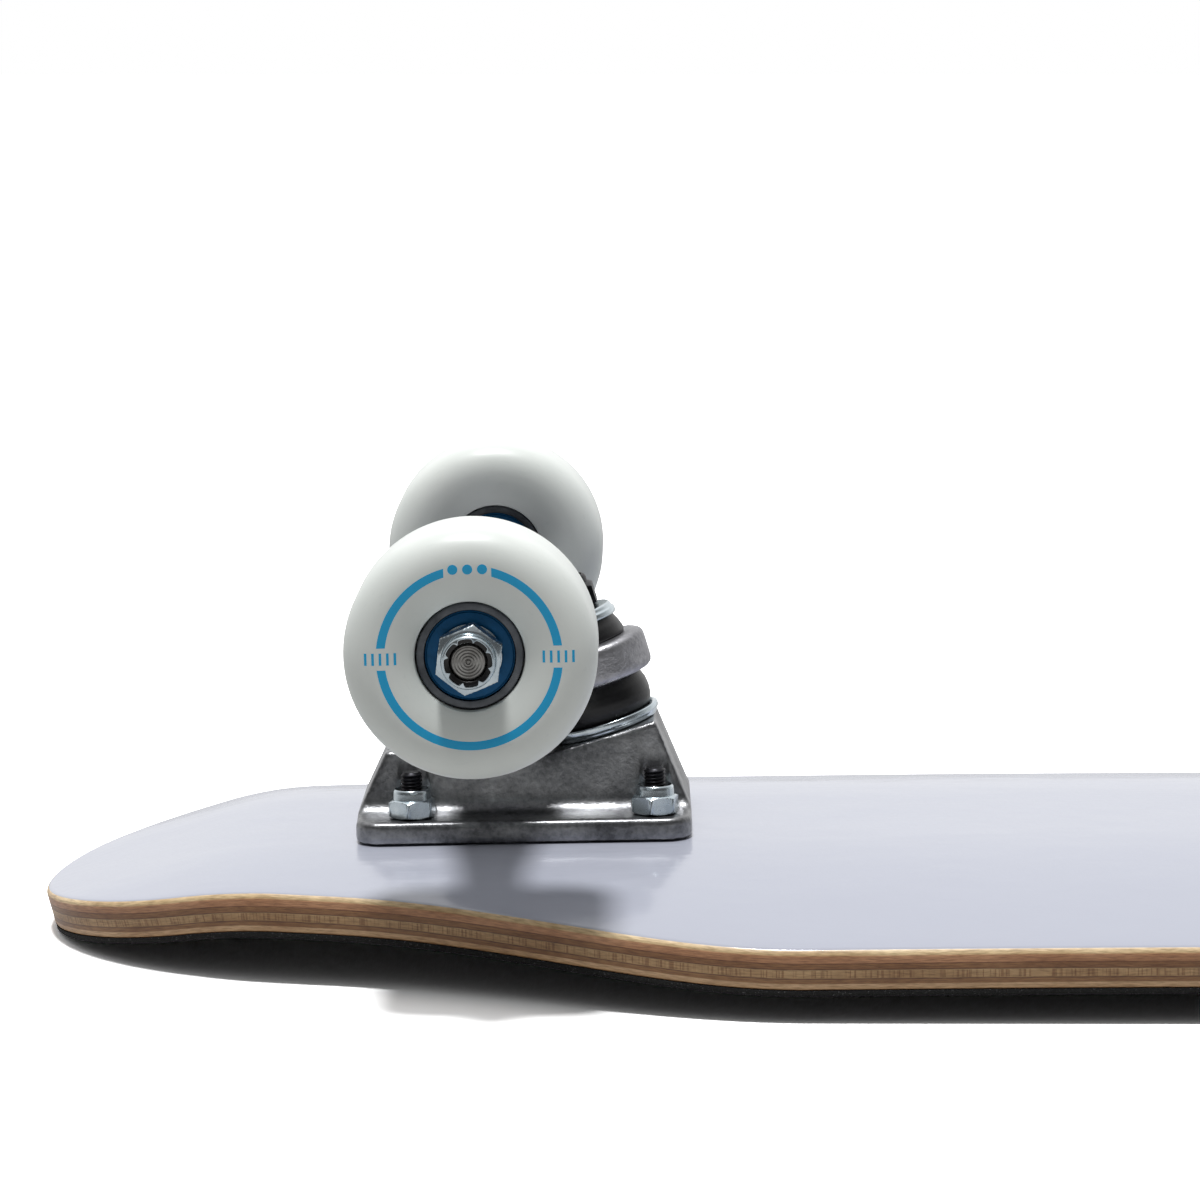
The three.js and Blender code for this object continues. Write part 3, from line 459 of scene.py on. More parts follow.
wavy = plus(tree, depth, times(tree, minus(tree, rim_noise(0.02, 1.5), 0.5), 0.035))
plies = colours(tree, wavy, [(0.0, "F1D9AF"), (0.115, "E8CD9F"), (0.14, "D3A07A"), (0.30, "CA956E"),
                             (0.315, "775137"), (0.335, "A1754D"), (0.445, "996D48"), (0.46, "684731"),
                             (0.485, "CEAB7F"), (0.665, "C7A174"), (0.685, "704C34"), (0.71, "A87D53"),
                             (0.795, "A1744C"), (0.815, "E6C096"), (0.93, "E2B98A"), (0.955, "C4946A")])
grain = colours(tree, rim_noise(0.35, 26.0, 4.0), [(0.30, "8C7A66"), (0.62, "FFFFFF")])
patches = colours(tree, rim_noise(0.05, 2.0), [(0.35, "C8B49E"), (0.65, "FFFFFF")])
ticks = colours(tree, rim_noise(1.9, 0.6), [(0.36, "9E7658"), (0.50, "FFFFFF")])
in_cross_ply = times(tree, reckon(tree, "GREATER_THAN", wavy, 0.485),
                      below(tree, wavy, 0.665))
wood = blended(tree, 0.55, plies, grain, "MULTIPLY")
wood = blended(tree, 0.6, wood, patches, "MULTIPLY")
wood = blended(tree, times(tree, in_cross_ply, 0.6), wood, ticks, "MULTIPLY")
tree.links.new(wood, shader.inputs["Base Color"])
tree.links.new(spread(tree, rim_noise(0.3, 20.0), 0.38, 0.58), shader.inputs["Roughness"])
bump(tree, shader, rim_noise(0.5, 34.0, 4.0), 0.35, 0.0003)

trucks = {prefix: truck_matrix(prefix) for prefix in ("front", "rear")}
front_spine = spine(-TRUCK_STATION)
board = Matrix.Translation(trucks["front"].translation - Vector((front_spine[0], 0, front_spine[1]))
                           * MM) @ Matrix.Scale(MM, 4)
bolt_places = [Vector((BOLT_SHIFT + x / 2, y / 2, 0)) for x in (-BOLT_LONG, BOLT_LONG)
               for y in (-BOLT_WIDE, BOLT_WIDE)]
HOLE_CLEARANCE, HOLE_TOP = 0.4, 30
rim = GRIP_FACE + BOLT_HEAD_RIM
countersink = rim + BOLT_HEAD_RADIUS - BOLT_RADIUS
hole_head, hole_shank = BOLT_HEAD_RADIUS + HOLE_CLEARANCE, BOLT_RADIUS + HOLE_CLEARANCE
hole = solid([(hole_head, GRIP_FACE - 2), (hole_head, rim), (hole_shank, countersink),
              (hole_shank, HOLE_TOP)], 48)
bolt_holes = shape("bolt holes", *[(*hole, board.inverted() @ truck @ Matrix.Translation(spot))
                                   for truck in trucks.values() for spot in bolt_places])
deck_mesh = layer_mesh("deck board", [ply_edge, lacquer], 0, -DECK_THICKNESS, BELLY_ARRIS, GRIP_ARRIS)
deck_mesh = cut(deck_mesh, bolt_holes)
place(deck_mesh, "deck_board", board, "deck", "maple_lacquer", [ply_edge, lacquer], "deck")


# ---- Grip tape ----
# A sheet of black silicon-carbide grip on the standing side, glued on and filed off flush round the
# edge, with the bolt heads let in through it.

grip, tree, shader = new_material("grip", {"IOR": 1.6})
coarse = noise(tree, place_on_piece(tree), 1700.0, 3.0, 0.7)
sparkle = spread(tree, noise(tree, place_on_piece(tree), 2600.0, 1.0), 0.0, 1.0, 0.66, 0.74)
dust = spread(tree, noise(tree, place_on_piece(tree), 12.0, 5.0), 0.0, 0.35, 0.5, 0.8)
base = blended(tree, sparkle, "0B0B0C", "4A4A4D")
tree.links.new(blended(tree, dust, base, "252424"), shader.inputs["Base Color"])
tree.links.new(spread(tree, sparkle, 0.95, 0.35), shader.inputs["Roughness"])
bump(tree, shader, coarse, 0.9, 0.0006)
GLUE_LINE, GLUED_ARRIS, FILED_ARRIS = 0.02, 0.3, 0.45
grip_mesh = layer_mesh("grip sheet", [grip, grip], -DECK_THICKNESS - GLUE_LINE, GRIP_FACE, GLUED_ARRIS,
                       FILED_ARRIS)
grip_mesh = cut(grip_mesh, bolt_holes)
place(grip_mesh, "grip_sheet", board, "deck", "grip", [grip, grip], "grip_tape")


# ---- Baseplates ----
# One aluminium casting per truck: a slab with rounded corners and a hollow-sided boss that carries
# the kingpin's slanted seat at one end and the pivot cup at the other. As cast, tumbled, not painted.

PLATE_LENGTH, PLATE_WIDTH, PLATE_TOP, PLATE_CORNER = 74.6, 56, 5.1, 6
BOSS_HALF_WIDTH, BOSS_TOP_HALF_WIDTH = 15, 13.4
KINGPIN_LEAN = math.radians(16)
KINGPIN_SEAT, KINGPIN_HEAD_FOOT, KINGPIN_HEAD_TOP = -15.4, -33.6, -28.1
KINGPIN_RADIUS, KINGPIN_HEAD_RADIUS = 4.76, 7.9
LOWER_WASHER_RADIUS = 13.45
PIVOT_MOUTH, PIVOT_BOSS_RADIUS, CUP_DEPTH = 46.5, 9.8, 6
NUB_RADIUS, NUB_LENGTH = 4.5, 4.2
DECK_NUT_FLATS = 9.53

on_kingpin = Matrix.Translation(RING_CENTRE) @ Matrix.Rotation(-KINGPIN_LEAN, 4, "Y")
on_pivot = Matrix.Translation(RING_CENTRE) @ Matrix.Rotation(-math.pi / 2 - PIVOT_ANGLE, 4, "Y")


def kingpin_point(height, across):
    point = on_kingpin @ Vector((across, 0, height))
    return point.x, point.z


def pivot_point(distance, across):
    point = on_pivot @ Vector((across, 0, distance))
    return point.x, point.z


along_x, along_y, along_z = Vector((1, 0, 0)), Vector((0, 1, 0)), Vector((0, 0, 1))


def prism(outline, reach, x_way=along_x, y_way=along_z):
    """An outline drawn out both ways along the third direction."""
    across = x_way.cross(y_way)
    count = len(outline)
    points = [x_way * x + y_way * y + across * far for far in (-reach, reach) for x, y in outline]
    faces = [tuple(range(count))[::-1], tuple(range(count, 2 * count))]
    faces += [(n, (n + 1) % count, count + (n + 1) % count, count + n) for n in range(count)]
    return points, faces


def slab(length, width, corner, foot, top, bevel):
    """A plate with round corners and a bevelled upper edge."""
    def ring(inset, height):
        points = []
        for turn in range(32):
            angle = math.tau * (turn + 0.5) / 32
            x = math.copysign(length / 2 - corner, math.cos(angle)) + (corner - inset) * math.cos(angle)
            y = math.copysign(width / 2 - corner, math.sin(angle)) + (corner - inset) * math.sin(angle)
            points.append((x, y, height))
        return points
    points = ring(0, foot) + ring(0, top - bevel) + ring(bevel, top)
    faces = [tuple(range(32))[::-1], tuple(range(64, 96))]
    faces += [(r * 32 + n, r * 32 + (n + 1) % 32, r * 32 + 32 + (n + 1) % 32, r * 32 + 32 + n)
              for r in range(2) for n in range(32)]
    return points, faces


def casting(name, shells, pockets, bores, grain, softening):
    """Fuses overlapping shells, hollows out the pockets, softens every edge as a casting's are,
    and leaves the machined bores crisp."""
    body = modified(shape(name, *shells), "REMESH", mode="VOXEL", voxel_size=grain)
    for pocket in pockets:
        body = cut(body, shape("pocket", pocket))
    body = modified(body, "REMESH", mode="VOXEL", voxel_size=grain)
    body = modified(body, "SMOOTH", factor=0.5, iterations=softening)
    for bore in bores:
        body = cut(body, shape("bore", bore))
    body.shade_smooth()
    body.set_sharp_from_angle(angle=math.radians(40))
    return body


ARM_SLOT = 21
half_long, half_wide = PLATE_LENGTH / 2, PLATE_WIDTH / 2
foot = PLATE_TOP - 1
shelf = pivot_point(PIVOT_MOUTH, -(pivot_point(PIVOT_MOUTH, 0)[1] - PLATE_TOP - 1) / math.cos(PIVOT_ANGLE))
side_view = prism([(-half_long, foot), (half_long, foot), (half_long, PLATE_TOP),
                   kingpin_point(KINGPIN_SEAT, LOWER_WASHER_RADIUS - 1.2),
                   kingpin_point(KINGPIN_SEAT, -LOWER_WASHER_RADIUS),
                   pivot_point(PIVOT_MOUTH, PIVOT_BOSS_RADIUS), (-half_long, PLATE_TOP)], half_wide)
boss_top = kingpin_point(KINGPIN_SEAT, LOWER_WASHER_RADIUS)[1]
flare = [(BOSS_HALF_WIDTH + 3.4 * (1 - math.sin(a)), PLATE_TOP + 3.4 * (1 - math.cos(a)))
         for a in [math.pi / 2 * n / 6 for n in range(7)]]
half_end = [(BOSS_HALF_WIDTH + 3.4, foot), *flare, (BOSS_TOP_HALF_WIDTH, boss_top)]
end_view = prism(half_end + [(-y, z) for y, z in half_end[::-1]], half_long + 1, along_y)
boss = cut(shape("boss", side_view), shape("boss end", end_view), "INTERSECT")
boss_shell = ([v.co.copy() for v in boss.vertices], [tuple(p.vertices) for p in boss.polygons])
nut_relief = DECK_NUT_FLATS / 2 / math.cos(math.pi / 6) + 1
relief = solid([(nut_relief, PLATE_TOP - 0.05), (nut_relief + 1.5, PLATE_TOP + 30)], 48)
reliefs = [(*relief, Matrix.Translation(spot)) for spot in bolt_places]
# Between its side walls the boss is hollowed out for the hanger's pivot arm.
arm_slot = prism([kingpin_point(KINGPIN_SEAT, -LOWER_WASHER_RADIUS), (BOLT_LONG / -4, PLATE_TOP + 1.5), shelf,
                  pivot_point(PIVOT_MOUTH, PIVOT_BOSS_RADIUS + 8), (0, 30)], ARM_SLOT / 2)
BOLT_BORE, HEAD_BORE, KINGPIN_BORE, CUP_BORE, CUP_BORE_END = 2.7, 8.1, 5.0, 6.6, 4.7
bolt_bore = solid([(BOLT_BORE, -9), (BOLT_BORE, 30)], 32)
bolt_bores = [(*bolt_bore, Matrix.Translation(spot)) for spot in bolt_places]
head_seat = KINGPIN_HEAD_TOP + 0.2
kingpin_bore = (*solid([(HEAD_BORE, KINGPIN_HEAD_FOOT - 20), (HEAD_BORE, head_seat),
                        (KINGPIN_BORE, head_seat), (KINGPIN_BORE, 10)]), on_kingpin)
cup_bore = (*solid([(CUP_BORE, PIVOT_MOUTH - 5), (CUP_BORE, PIVOT_MOUTH),
                    (CUP_BORE_END, PIVOT_MOUTH + CUP_DEPTH + 0.3)]), on_pivot)
baseplate = casting("baseplate", [slab(PLATE_LENGTH, PLATE_WIDTH, PLATE_CORNER, 0.02, PLATE_TOP, 0.7),
                                  boss_shell], [*reliefs, arm_slot], [*bolt_bores, kingpin_bore, cup_bore],
                    grain=0.55, softening=5)

# The casting's skin: a fine pebbled surface with darker drifts where the tumbling didn't reach.
cast_skin, given, result = node_group(
    "cast skin", "ShaderNodeTree",
    [("Vector", "Vector", None), ("Drift scale", "Float", 60.0), ("Grain scale", "Float", 900.0),
     ("Dark", "Color", (0.1, 0.1, 0.1, 1)), ("Light", "Color", (0.5, 0.5, 0.5, 1))],
    [("Color", "Color"), ("Mask", "Float"), ("Height", "Float")])
drift = noise(cast_skin, given["Vector"], given["Drift scale"], 6.0, 0.65)
pebbles = noise(cast_skin, given["Vector"], given["Grain scale"], 3.0, 0.6)
mask = spread(cast_skin, plus(cast_skin, times(cast_skin, drift, 0.75),
                                times(cast_skin, pebbles, 0.25)), 0.0, 1.0, 0.36, 0.64)
cast_skin.links.new(blended(cast_skin, mask, given["Dark"], given["Light"]), result["Color"])
cast_skin.links.new(mask, result["Mask"])
cast_skin.links.new(plus(cast_skin, times(cast_skin, drift, 0.4), pebbles), result["Height"])


def cast_metal(name, dark, light, rough, strength):
    material, tree, shader = new_material(name, {"Metallic": 1.0})
    group = add_node(tree, "ShaderNodeGroup", node_tree=cast_skin)
    tree.links.new(place_on_piece(tree), group.inputs["Vector"])
    for socket, shade in (("Dark", dark), ("Light", light)):
        group.inputs[socket].default_value = hex_colour(shade)
    tree.links.new(group.outputs["Color"], shader.inputs["Base Color"])
    tree.links.new(spread(tree, group.outputs["Mask"], *rough), shader.inputs["Roughness"])
    bump(tree, shader, group.outputs["Height"], strength, 0.0004)
    return material


plate_metal = cast_metal("baseplate casting", "5A5B5D", "A6A7A9", (0.40, 0.28), 0.30)
for prefix, truck in trucks.items():
    place(baseplate, f"{prefix}_baseplate_casting", truck, "deck", "cast_aluminium", [plate_metal],
          f"{prefix}_baseplate")


# ---- Pivot cups and kingpins ----
# The pivot cup is a turned black urethane thimble pressed into the baseplate. The kingpin is a
# black-oxide steel bolt from inside the baseplate, with a rolled thread at its end.


def smooth_finish(name, values, smudge_scale, rough, shades, grain, relief):
    """A turned, ground or plated finish: two shades under handling marks, and a fine grain."""
    material, tree, shader = new_material(name, values)
    mask = handling_marks(tree, shader, smudge_scale, *rough)
    tree.links.new(blended(tree, mask, *shades), shader.inputs["Base Color"])
    bump(tree, shader, noise(tree, place_on_piece(tree), *grain), relief, 0.0002)
    return material


urethane = smooth_finish("black urethane", {"IOR": 1.5}, 90.0, (0.24, 0.42), ("0A0A0B", "141416"), (1500.0,),
                         0.12)
black_steel = smooth_finish("black oxide steel", {"Metallic": 0.85}, 160.0, (0.30, 0.50),
                            ("17171A", "2C2C30"), (2500.0,), 0.10)

CUP_WALL = 1.4
cup_foot, cup_mouth = PIVOT_MOUTH + CUP_DEPTH, PIVOT_MOUTH - 0.25
cup = shape("pivot cup", lathe([(0, cup_foot), (4.55, cup_foot),
                                (NUB_RADIUS + CUP_WALL + 0.5, PIVOT_MOUTH + 0.1),
                                (NUB_RADIUS + CUP_WALL + 0.3, cup_mouth), (NUB_RADIUS + 0.6, cup_mouth),
                                (NUB_RADIUS + 0.25, PIVOT_MOUTH + 0.1), (3.4, PIVOT_MOUTH + NUB_LENGTH - 0.8),
                                (0, PIVOT_MOUTH + NUB_LENGTH + 0.3)], 64))


def threaded(radius, pitch, bottom, top, depth=0.32, per_turn=7):
    """Profile points of a rolled thread, a single helix round the bolt."""
    def flank(height):
        def radius_at(angle):
            turn = (height / pitch - angle / math.tau) % 1
            return radius - depth * (1 - min(abs(turn - 0.5) * 2.6, 1))
        return radius_at
    steps = math.ceil((top - bottom) / pitch * per_turn)
    return [(flank(bottom + (top - bottom) * n / steps), bottom + (top - bottom) * n / steps)
            for n in range(steps + 1)]


KINGPIN_END = 21.4
kingpin = shape("kingpin", solid([(7.5, KINGPIN_HEAD_FOOT), (KINGPIN_HEAD_RADIUS, KINGPIN_HEAD_FOOT + 0.4),
                                  (KINGPIN_HEAD_RADIUS, KINGPIN_HEAD_TOP - 0.4), (7.5, KINGPIN_HEAD_TOP),
                                  (KINGPIN_RADIUS, KINGPIN_HEAD_TOP), (KINGPIN_RADIUS, 8.9),
                                  *threaded(KINGPIN_RADIUS, 1.06, 9.2, KINGPIN_END - 0.9, 0.45),
                                  (KINGPIN_RADIUS - 0.5, KINGPIN_END - 0.8),
                                  (KINGPIN_RADIUS - 1.2, KINGPIN_END), (0.8, KINGPIN_END),
                                  (0.5, KINGPIN_END - 0.3)], 72))
for prefix, truck in trucks.items():
    place(cup, f"{prefix}_pivot_cup_thimble", truck @ on_pivot, "deck", "bushing_urethane", [urethane],
          f"{prefix}_pivot_cup")
    place(kingpin, f"{prefix}_kingpin_bolt", truck @ on_kingpin, "deck", "black_steel", [black_steel],
          f"{prefix}_kingpin")


# ---- Washers, bushings and kingpin nut ----
# Two black urethane bushings squeeze the hanger's ring between pressed steel cup washers, bright
# zinc with a faint blue passivation. A black lock nut holds the stack down.

zinc = smooth_finish("blue zinc", {"Metallic": 1.0}, 120.0, (0.13, 0.30), ("DCE5E9", "B3C0C8"), (700.0, 4.0),
                     0.08)


def rounded(corners, steps=4):
    """Profile points with given corners rounded; a corner is (radius, height, rounding)."""
    points = []
    count = len(corners)
    for number, (x, y, r) in enumerate(corners):
        here = Vector((x, y))
        before, after = Vector(corners[number - 1][:2]), Vector(corners[(number + 1) % count][:2])
        if r == 0:
            points.append((x, y))
            continue
        start, end = here + (before - here).normalized() * r, here + (after - here).normalized() * r
        for step in range(steps + 1):
            t = step / steps
            spot = start * (1 - t) ** 2 + here * 2 * t * (1 - t) + end * t ** 2
            points.append((spot.x, spot.y))
    return points


def cup_washer(radius, back, facing):
    """A pressed cup: a flat disc, a short neck and a rolled rim that faces the bushing."""
    def at(height):
        return back + facing * height
    profile = rounded([(5.0, at(0), 0.15), (radius - 0.75, at(0), 0.55), (radius - 0.5, at(1.0), 0.3),
                       (radius, at(1.35), 0.3), (radius, at(2.7), 0.5), (radius - 1.2, at(2.7), 0.4),
                       (radius - 1.35, at(1.3), 0.5), (5.0, at(1.3), 0.15)])
    return shape("washer", lathe(profile if facing > 0 else profile[::-1], 128))


def barrel(outline):
    """A moulded bushing from its outside (radius, height) points, bored for the kingpin."""
    low, high = outline[0][1], outline[-1][1]
    return shape("bushing", lathe(rounded([(4.9, low, 0.2), *[(r, h, 0.45) for r, h in outline],
                                           (4.9, high, 0.2)]), 112))


RING_HALF_HEIGHT = 4.4
lower_washer = cup_washer(LOWER_WASHER_RADIUS, -15.35, 1)
upper_washer = cup_washer(10.5, 11.95, -1)
lower_bushing = barrel([(11.5, -13.9), (11.9, -12.6), (12.55, -10.8), (12.7, -9.0), (12.5, -7.2),
                        (11.9, -5.6), (11.6, -4.45)])
upper_bushing = barrel([(10.9, 4.45), (11.1, 5.4), (10.5, 7.2), (9.6, 8.9), (9.0, 10.5)])


def hexagon(flats, limit):
    """A hexagon's radius by angle, cut down to a circle where the corners are chamfered."""
    def radius_at(angle):
        return min(flats / 2 / math.cos((angle + math.pi / 6) % (math.pi / 3) - math.pi / 6), limit)
    return radius_at


def lock_nut(flats, hex_height, collar_height, bore, foot, teeth=0):
    """A hexagon with chamfered ends, its crimped collar, and the insert ring inside the collar."""
    corner, inner = flats / 2 / math.cos(math.pi / 6), flats * 0.465
    rise = (corner - inner) * math.tan(math.radians(30))
    steps = [n / 5 for n in range(6)]
    head = foot + hex_height

    def crimp(angle):
        tooth = max(0, 1 - abs((angle / math.tau * teeth) % 1 - 0.5) * 7) if teeth else 0
        return flats * 0.385 - 0.75 * tooth
    outside = [(hexagon(flats, inner + t * (corner - inner)), foot + t * rise) for t in steps]
    outside += [(hexagon(flats, inner + t * (corner - inner)), head - t * rise) for t in steps[::-1]]
    top = head + collar_height
    profile = [(bore, foot), *outside, (flats * 0.45, head + 0.02), (flats * 0.445, head + 0.2),
               (flats * 0.44, top - 0.9), (flats * 0.43, top - 0.4), (flats * 0.41, top - 0.1),
               (flats * 0.395, top), (crimp, top - 0.02), (crimp, top - 0.3), (flats * 0.39, top - 0.55),
               (flats * 0.39, head + 0.3), (bore, head + 0.3)]
    ring_top = top - 0.6
    insert = rounded([(bore - 0.15, head + 0.35, 0), (flats * 0.385, head + 0.35, 0),
                      (flats * 0.385, ring_top, 0.3), (bore - 0.15, ring_top - 0.3, 0.3)])
    return lathe(profile, 144), lathe(insert, 72)


nut_shell, nut_ring = lock_nut(flats=14.29, hex_height=5.6, collar_height=2.0, bore=KINGPIN_RADIUS + 0.05,
                               foot=12.05)
kingpin_nut = shape("kingpin nut", nut_shell, nut_ring)
for prefix, truck in trucks.items():
    stack = truck @ on_kingpin
    hanger_body = f"{prefix}_hanger"
    place(lower_washer, f"{prefix}_lower_cup_washer", stack, "deck", "zinc_plate", [zinc],
          f"{prefix}_lower_washer")
    place(upper_washer, f"{prefix}_upper_cup_washer", stack, "deck", "zinc_plate", [zinc],
          f"{prefix}_upper_washer")
    place(kingpin_nut, f"{prefix}_kingpin_lock_nut", stack, "deck", "black_steel", [black_steel, urethane],
          f"{prefix}_kingpin_nut")
    lower = place(lower_bushing, f"{prefix}_lower_bushing_barrel", stack, None, "bushing_urethane",
                  [urethane], f"{prefix}_lower_bushing")
    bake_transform(lower)
    upper = place(upper_bushing, f"{prefix}_upper_bushing_cone", stack, None, "bushing_urethane", [urethane],
                  f"{prefix}_upper_bushing")
    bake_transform(upper)


# ---- Hangers ----
# The hanger is one aluminium casting: a tapered beam round the axle, two arms and a pivot arm that
# meet in a thick ring between the bushings, and a round nub that turns in the pivot cup.

AXLE = Vector((-8.1, 0, 52.5))
HANGER_HALF = 68
RING_RADIUS = 15
BEAM_END, BEAM_MIDDLE = 7.2, 10.2
ARM_HALF_DEPTH, PIVOT_ARM_HALF_WIDTH = 4.5, 7.6
on_beam = Matrix.Translation(AXLE) @ Matrix.Rotation(math.pi / 2, 4, "X")
towards_ring = (RING_CENTRE - AXLE).normalized()
reach = (RING_CENTRE - AXLE).length


def beam_radius(y):
    share = min(max((HANGER_HALF - 8 - abs(y)) / 36, 0), 1)
    return BEAM_END + (BEAM_MIDDLE - BEAM_END) * share * share * (3 - 2 * share)


beam_line = [HANGER_HALF * (n / 30 - 1) for n in range(61)]
beam = (*solid([(beam_radius(y), y) for y in beam_line], 48), on_beam)
arm_curve = [(44 - 31 * t, 3 + (reach - 7) * (0.35 * t + 0.65 * t * t)) for t in [n / 8 for n in range(9)]]
arm_points, arm_faces = prism([(-44, -2), (44, -2), *arm_curve, *[(-y, z) for y, z in arm_curve[::-1]]],
                              ARM_HALF_DEPTH, along_y, towards_ring)
arms = (arm_points, arm_faces, Matrix.Translation(AXLE))
pivot_arm = prism([(AXLE.x - 8, AXLE.z + 3), (AXLE.x - 9.5, AXLE.z - 4), pivot_point(PIVOT_MOUTH - 8, 4),
                   pivot_point(PIVOT_MOUTH - 5, -2), pivot_point(RING_RADIUS, -2), pivot_point(0, 2),
                   (AXLE.x + 8, AXLE.z - 2), (AXLE.x + 6, AXLE.z + 5)], PIVOT_ARM_HALF_WIDTH)
nub = (*lathe([(0, RING_RADIUS - 2), (NUB_RADIUS, RING_RADIUS - 2), (6, RING_RADIUS + 6),
               (6.4, PIVOT_MOUTH - 14), (6, PIVOT_MOUTH - 4.5), (NUB_RADIUS + 0.1, PIVOT_MOUTH - 1),
               (NUB_RADIUS * 0.75, PIVOT_MOUTH + NUB_LENGTH - 1), (0, PIVOT_MOUTH + NUB_LENGTH)], 48),
       on_pivot)
ring = (*lathe(rounded([(0, -RING_HALF_HEIGHT, 0), (RING_RADIUS + 0.1, -RING_HALF_HEIGHT, 1.6),
                        (RING_RADIUS + 0.1, RING_HALF_HEIGHT, 1.6), (0, RING_HALF_HEIGHT, 0)]), 96),
        on_kingpin)
UPPER_POCKET, LOWER_POCKET, RING_BORE, AXLE_BORE = 13, 14.65, 6.5, 4.1
upper_pocket = (*solid([(UPPER_POCKET, RING_HALF_HEIGHT), (UPPER_POCKET, 13.2), (10.7, 14.7), (10.7, 60)]),
                on_kingpin)
lower_pocket = (*solid([(LOWER_POCKET, -60), (LOWER_POCKET, -RING_HALF_HEIGHT)]), on_kingpin)
ring_bore = (*solid([(RING_BORE, -6), (RING_BORE, 6)]), on_kingpin)
axle_bore = (*solid([(AXLE_BORE, -70), (AXLE_BORE, 70)], 64), on_beam)
hanger = casting("hanger", [beam, arms, pivot_arm, nub, ring], [upper_pocket, lower_pocket],
                 [ring_bore, axle_bore], grain=0.6, softening=6)
hanger_metal = cast_metal("hanger casting", "7C7C80", "B2B2B6", (0.46, 0.36), 0.35)
for prefix, truck in trucks.items():
    place(hanger, f"{prefix}_hanger_casting", truck, f"{prefix}_hanger", "cast_aluminium", [hanger_metal],
          f"{prefix}_hanger")


# ---- Axles ----
# A ground steel axle through the hanger's beam. Its ends are faced off on a lathe, which leaves fine
# rings and a small centre.

AXLE_RADIUS, AXLE_END = 3.97, 101.6
end_rings = [(3.2 * (1 - n / 32), AXLE_END - 0.03 - 0.05 * math.sin(3.2 * (1 - n / 32) * math.tau / 0.62))
             for n in range(28)]
half_axle = [(AXLE_RADIUS, 60), (AXLE_RADIUS, AXLE_END - 0.7), (AXLE_RADIUS - 0.15, AXLE_END - 0.45),
             (3.35, AXLE_END), *end_rings, (0.35, AXLE_END - 0.35), (0, AXLE_END - 0.35)]
axle = shape("axle", (*lathe([(r, -y) for r, y in half_axle[::-1]] + half_axle, 72), on_beam), crease=50)
axle_steel = smooth_finish("axle steel", {"Metallic": 1.0}, 260.0, (0.24, 0.45), ("A3A29F", "6E6C69"),
                           (1800.0, 4.0), 0.2)
for prefix, truck in trucks.items():
    place(axle, f"{prefix}_axle_rod", truck, f"{prefix}_hanger", "axle_steel", [axle_steel], f"{prefix}_axle")


# ---- Wheels ----
# Cast off-white urethane, turned to shape: a dished face, round shoulders and a flat tread. Each
# outer face carries a pad-printed blue ring, broken by three dots at its top and by bars at its sides.

WHEEL_MIDDLE, WHEEL_HALF, TREAD_HALF = 81, 15, 8.5
WHEEL_RADIUS, FACE_RADIUS, SEAT = 26, 19, 11.25
face = [(SEAT - 2.9, 4.9), (SEAT, 4.9), (SEAT, 13.0), (SEAT + 0.15, 13.35), (SEAT + 0.5, 13.6)]
face += [(SEAT + 0.5 + 6.75 * t, 13.6 + 1.4 * math.sin(t * math.pi / 2) ** 0.9)
         for t in [n / 12 for n in range(1, 12)]]
face += [(FACE_RADIUS + (WHEEL_RADIUS - FACE_RADIUS) * math.sin(t) ** 0.96,
          TREAD_HALF + (WHEEL_HALF - TREAD_HALF) * math.cos(t) ** 0.96)
         for t in [math.pi / 2 * n / 22 for n in range(22)]]
face += [(WHEEL_RADIUS, TREAD_HALF), (WHEEL_RADIUS, 0)]
wheel = shape("wheel", lathe([(r, -y) for r, y in face] + face[::-1][1:], 144), crease=28)
print_map = wheel.uv_layers.new(name="print")
OFF_PRINT = (99, 99)
for polygon in wheel.polygons:
    for corner in polygon.loop_indices:
        spot = wheel.vertices[wheel.loops[corner].vertex_index].co
        on_face = polygon.center.z > TREAD_HALF and polygon.normal.z > 0.2
        print_map.data[corner].uv = (spot.x, spot.y) if on_face else OFF_PRINT

wheel_urethane, tree, shader = new_material("wheel urethane", {"IOR": 1.5})
across_face = add_node(tree, "ShaderNodeSeparateXYZ",
                       {0: add_node(tree, "ShaderNodeUVMap", uv_map="print").outputs[0]}).outputs
right, up = across_face[0], across_face[1]
out_right, off_level = reckon(tree, "ABSOLUTE", right), reckon(tree, "ABSOLUTE", up)
from_centre = reckon(tree, "SQRT", plus(tree, times(tree, right, right), times(tree, up, up)))


def near(value, centre, reach_each_way):
    """1 where a value lies within a reach of a centre."""
    return below(tree, reckon(tree, "ABSOLUTE", minus(tree, value, centre)), reach_each_way)


PRINT_RADIUS, PRINT_HALF_LINE = 18.07, 0.88
TOP_GAP, SIDE_GAP, DOTS_REACH, DOT_PITCH, DOT_RADIUS_SQUARED = 4.83, 2.25, 4.5, 3.0, 1.05
BARS_REACH, BAR_PITCH, BAR_HALF_LINE, BAR_HALF_HEIGHT = 3.6, 1.5, 0.27, 1.25
in_top_gap = times(tree, below(tree, out_right, TOP_GAP), reckon(tree, "GREATER_THAN", up, 0.0))
in_side_gap = below(tree, off_level, SIDE_GAP)
broken = reckon(tree, "MAXIMUM", in_top_gap, in_side_gap)
ring_print = times(tree, near(from_centre, PRINT_RADIUS, PRINT_HALF_LINE), minus(tree, 1.0, broken))
dot_right, dot_up = reckon(tree, "WRAP", right, DOT_PITCH / 2, -DOT_PITCH / 2), minus(tree, up, PRINT_RADIUS)
dot_reach = plus(tree, times(tree, dot_right, dot_right), times(tree, dot_up, dot_up))
dots = times(tree, below(tree, dot_reach, DOT_RADIUS_SQUARED), below(tree, out_right, DOTS_REACH))
bar_place = minus(tree, out_right, PRINT_RADIUS)
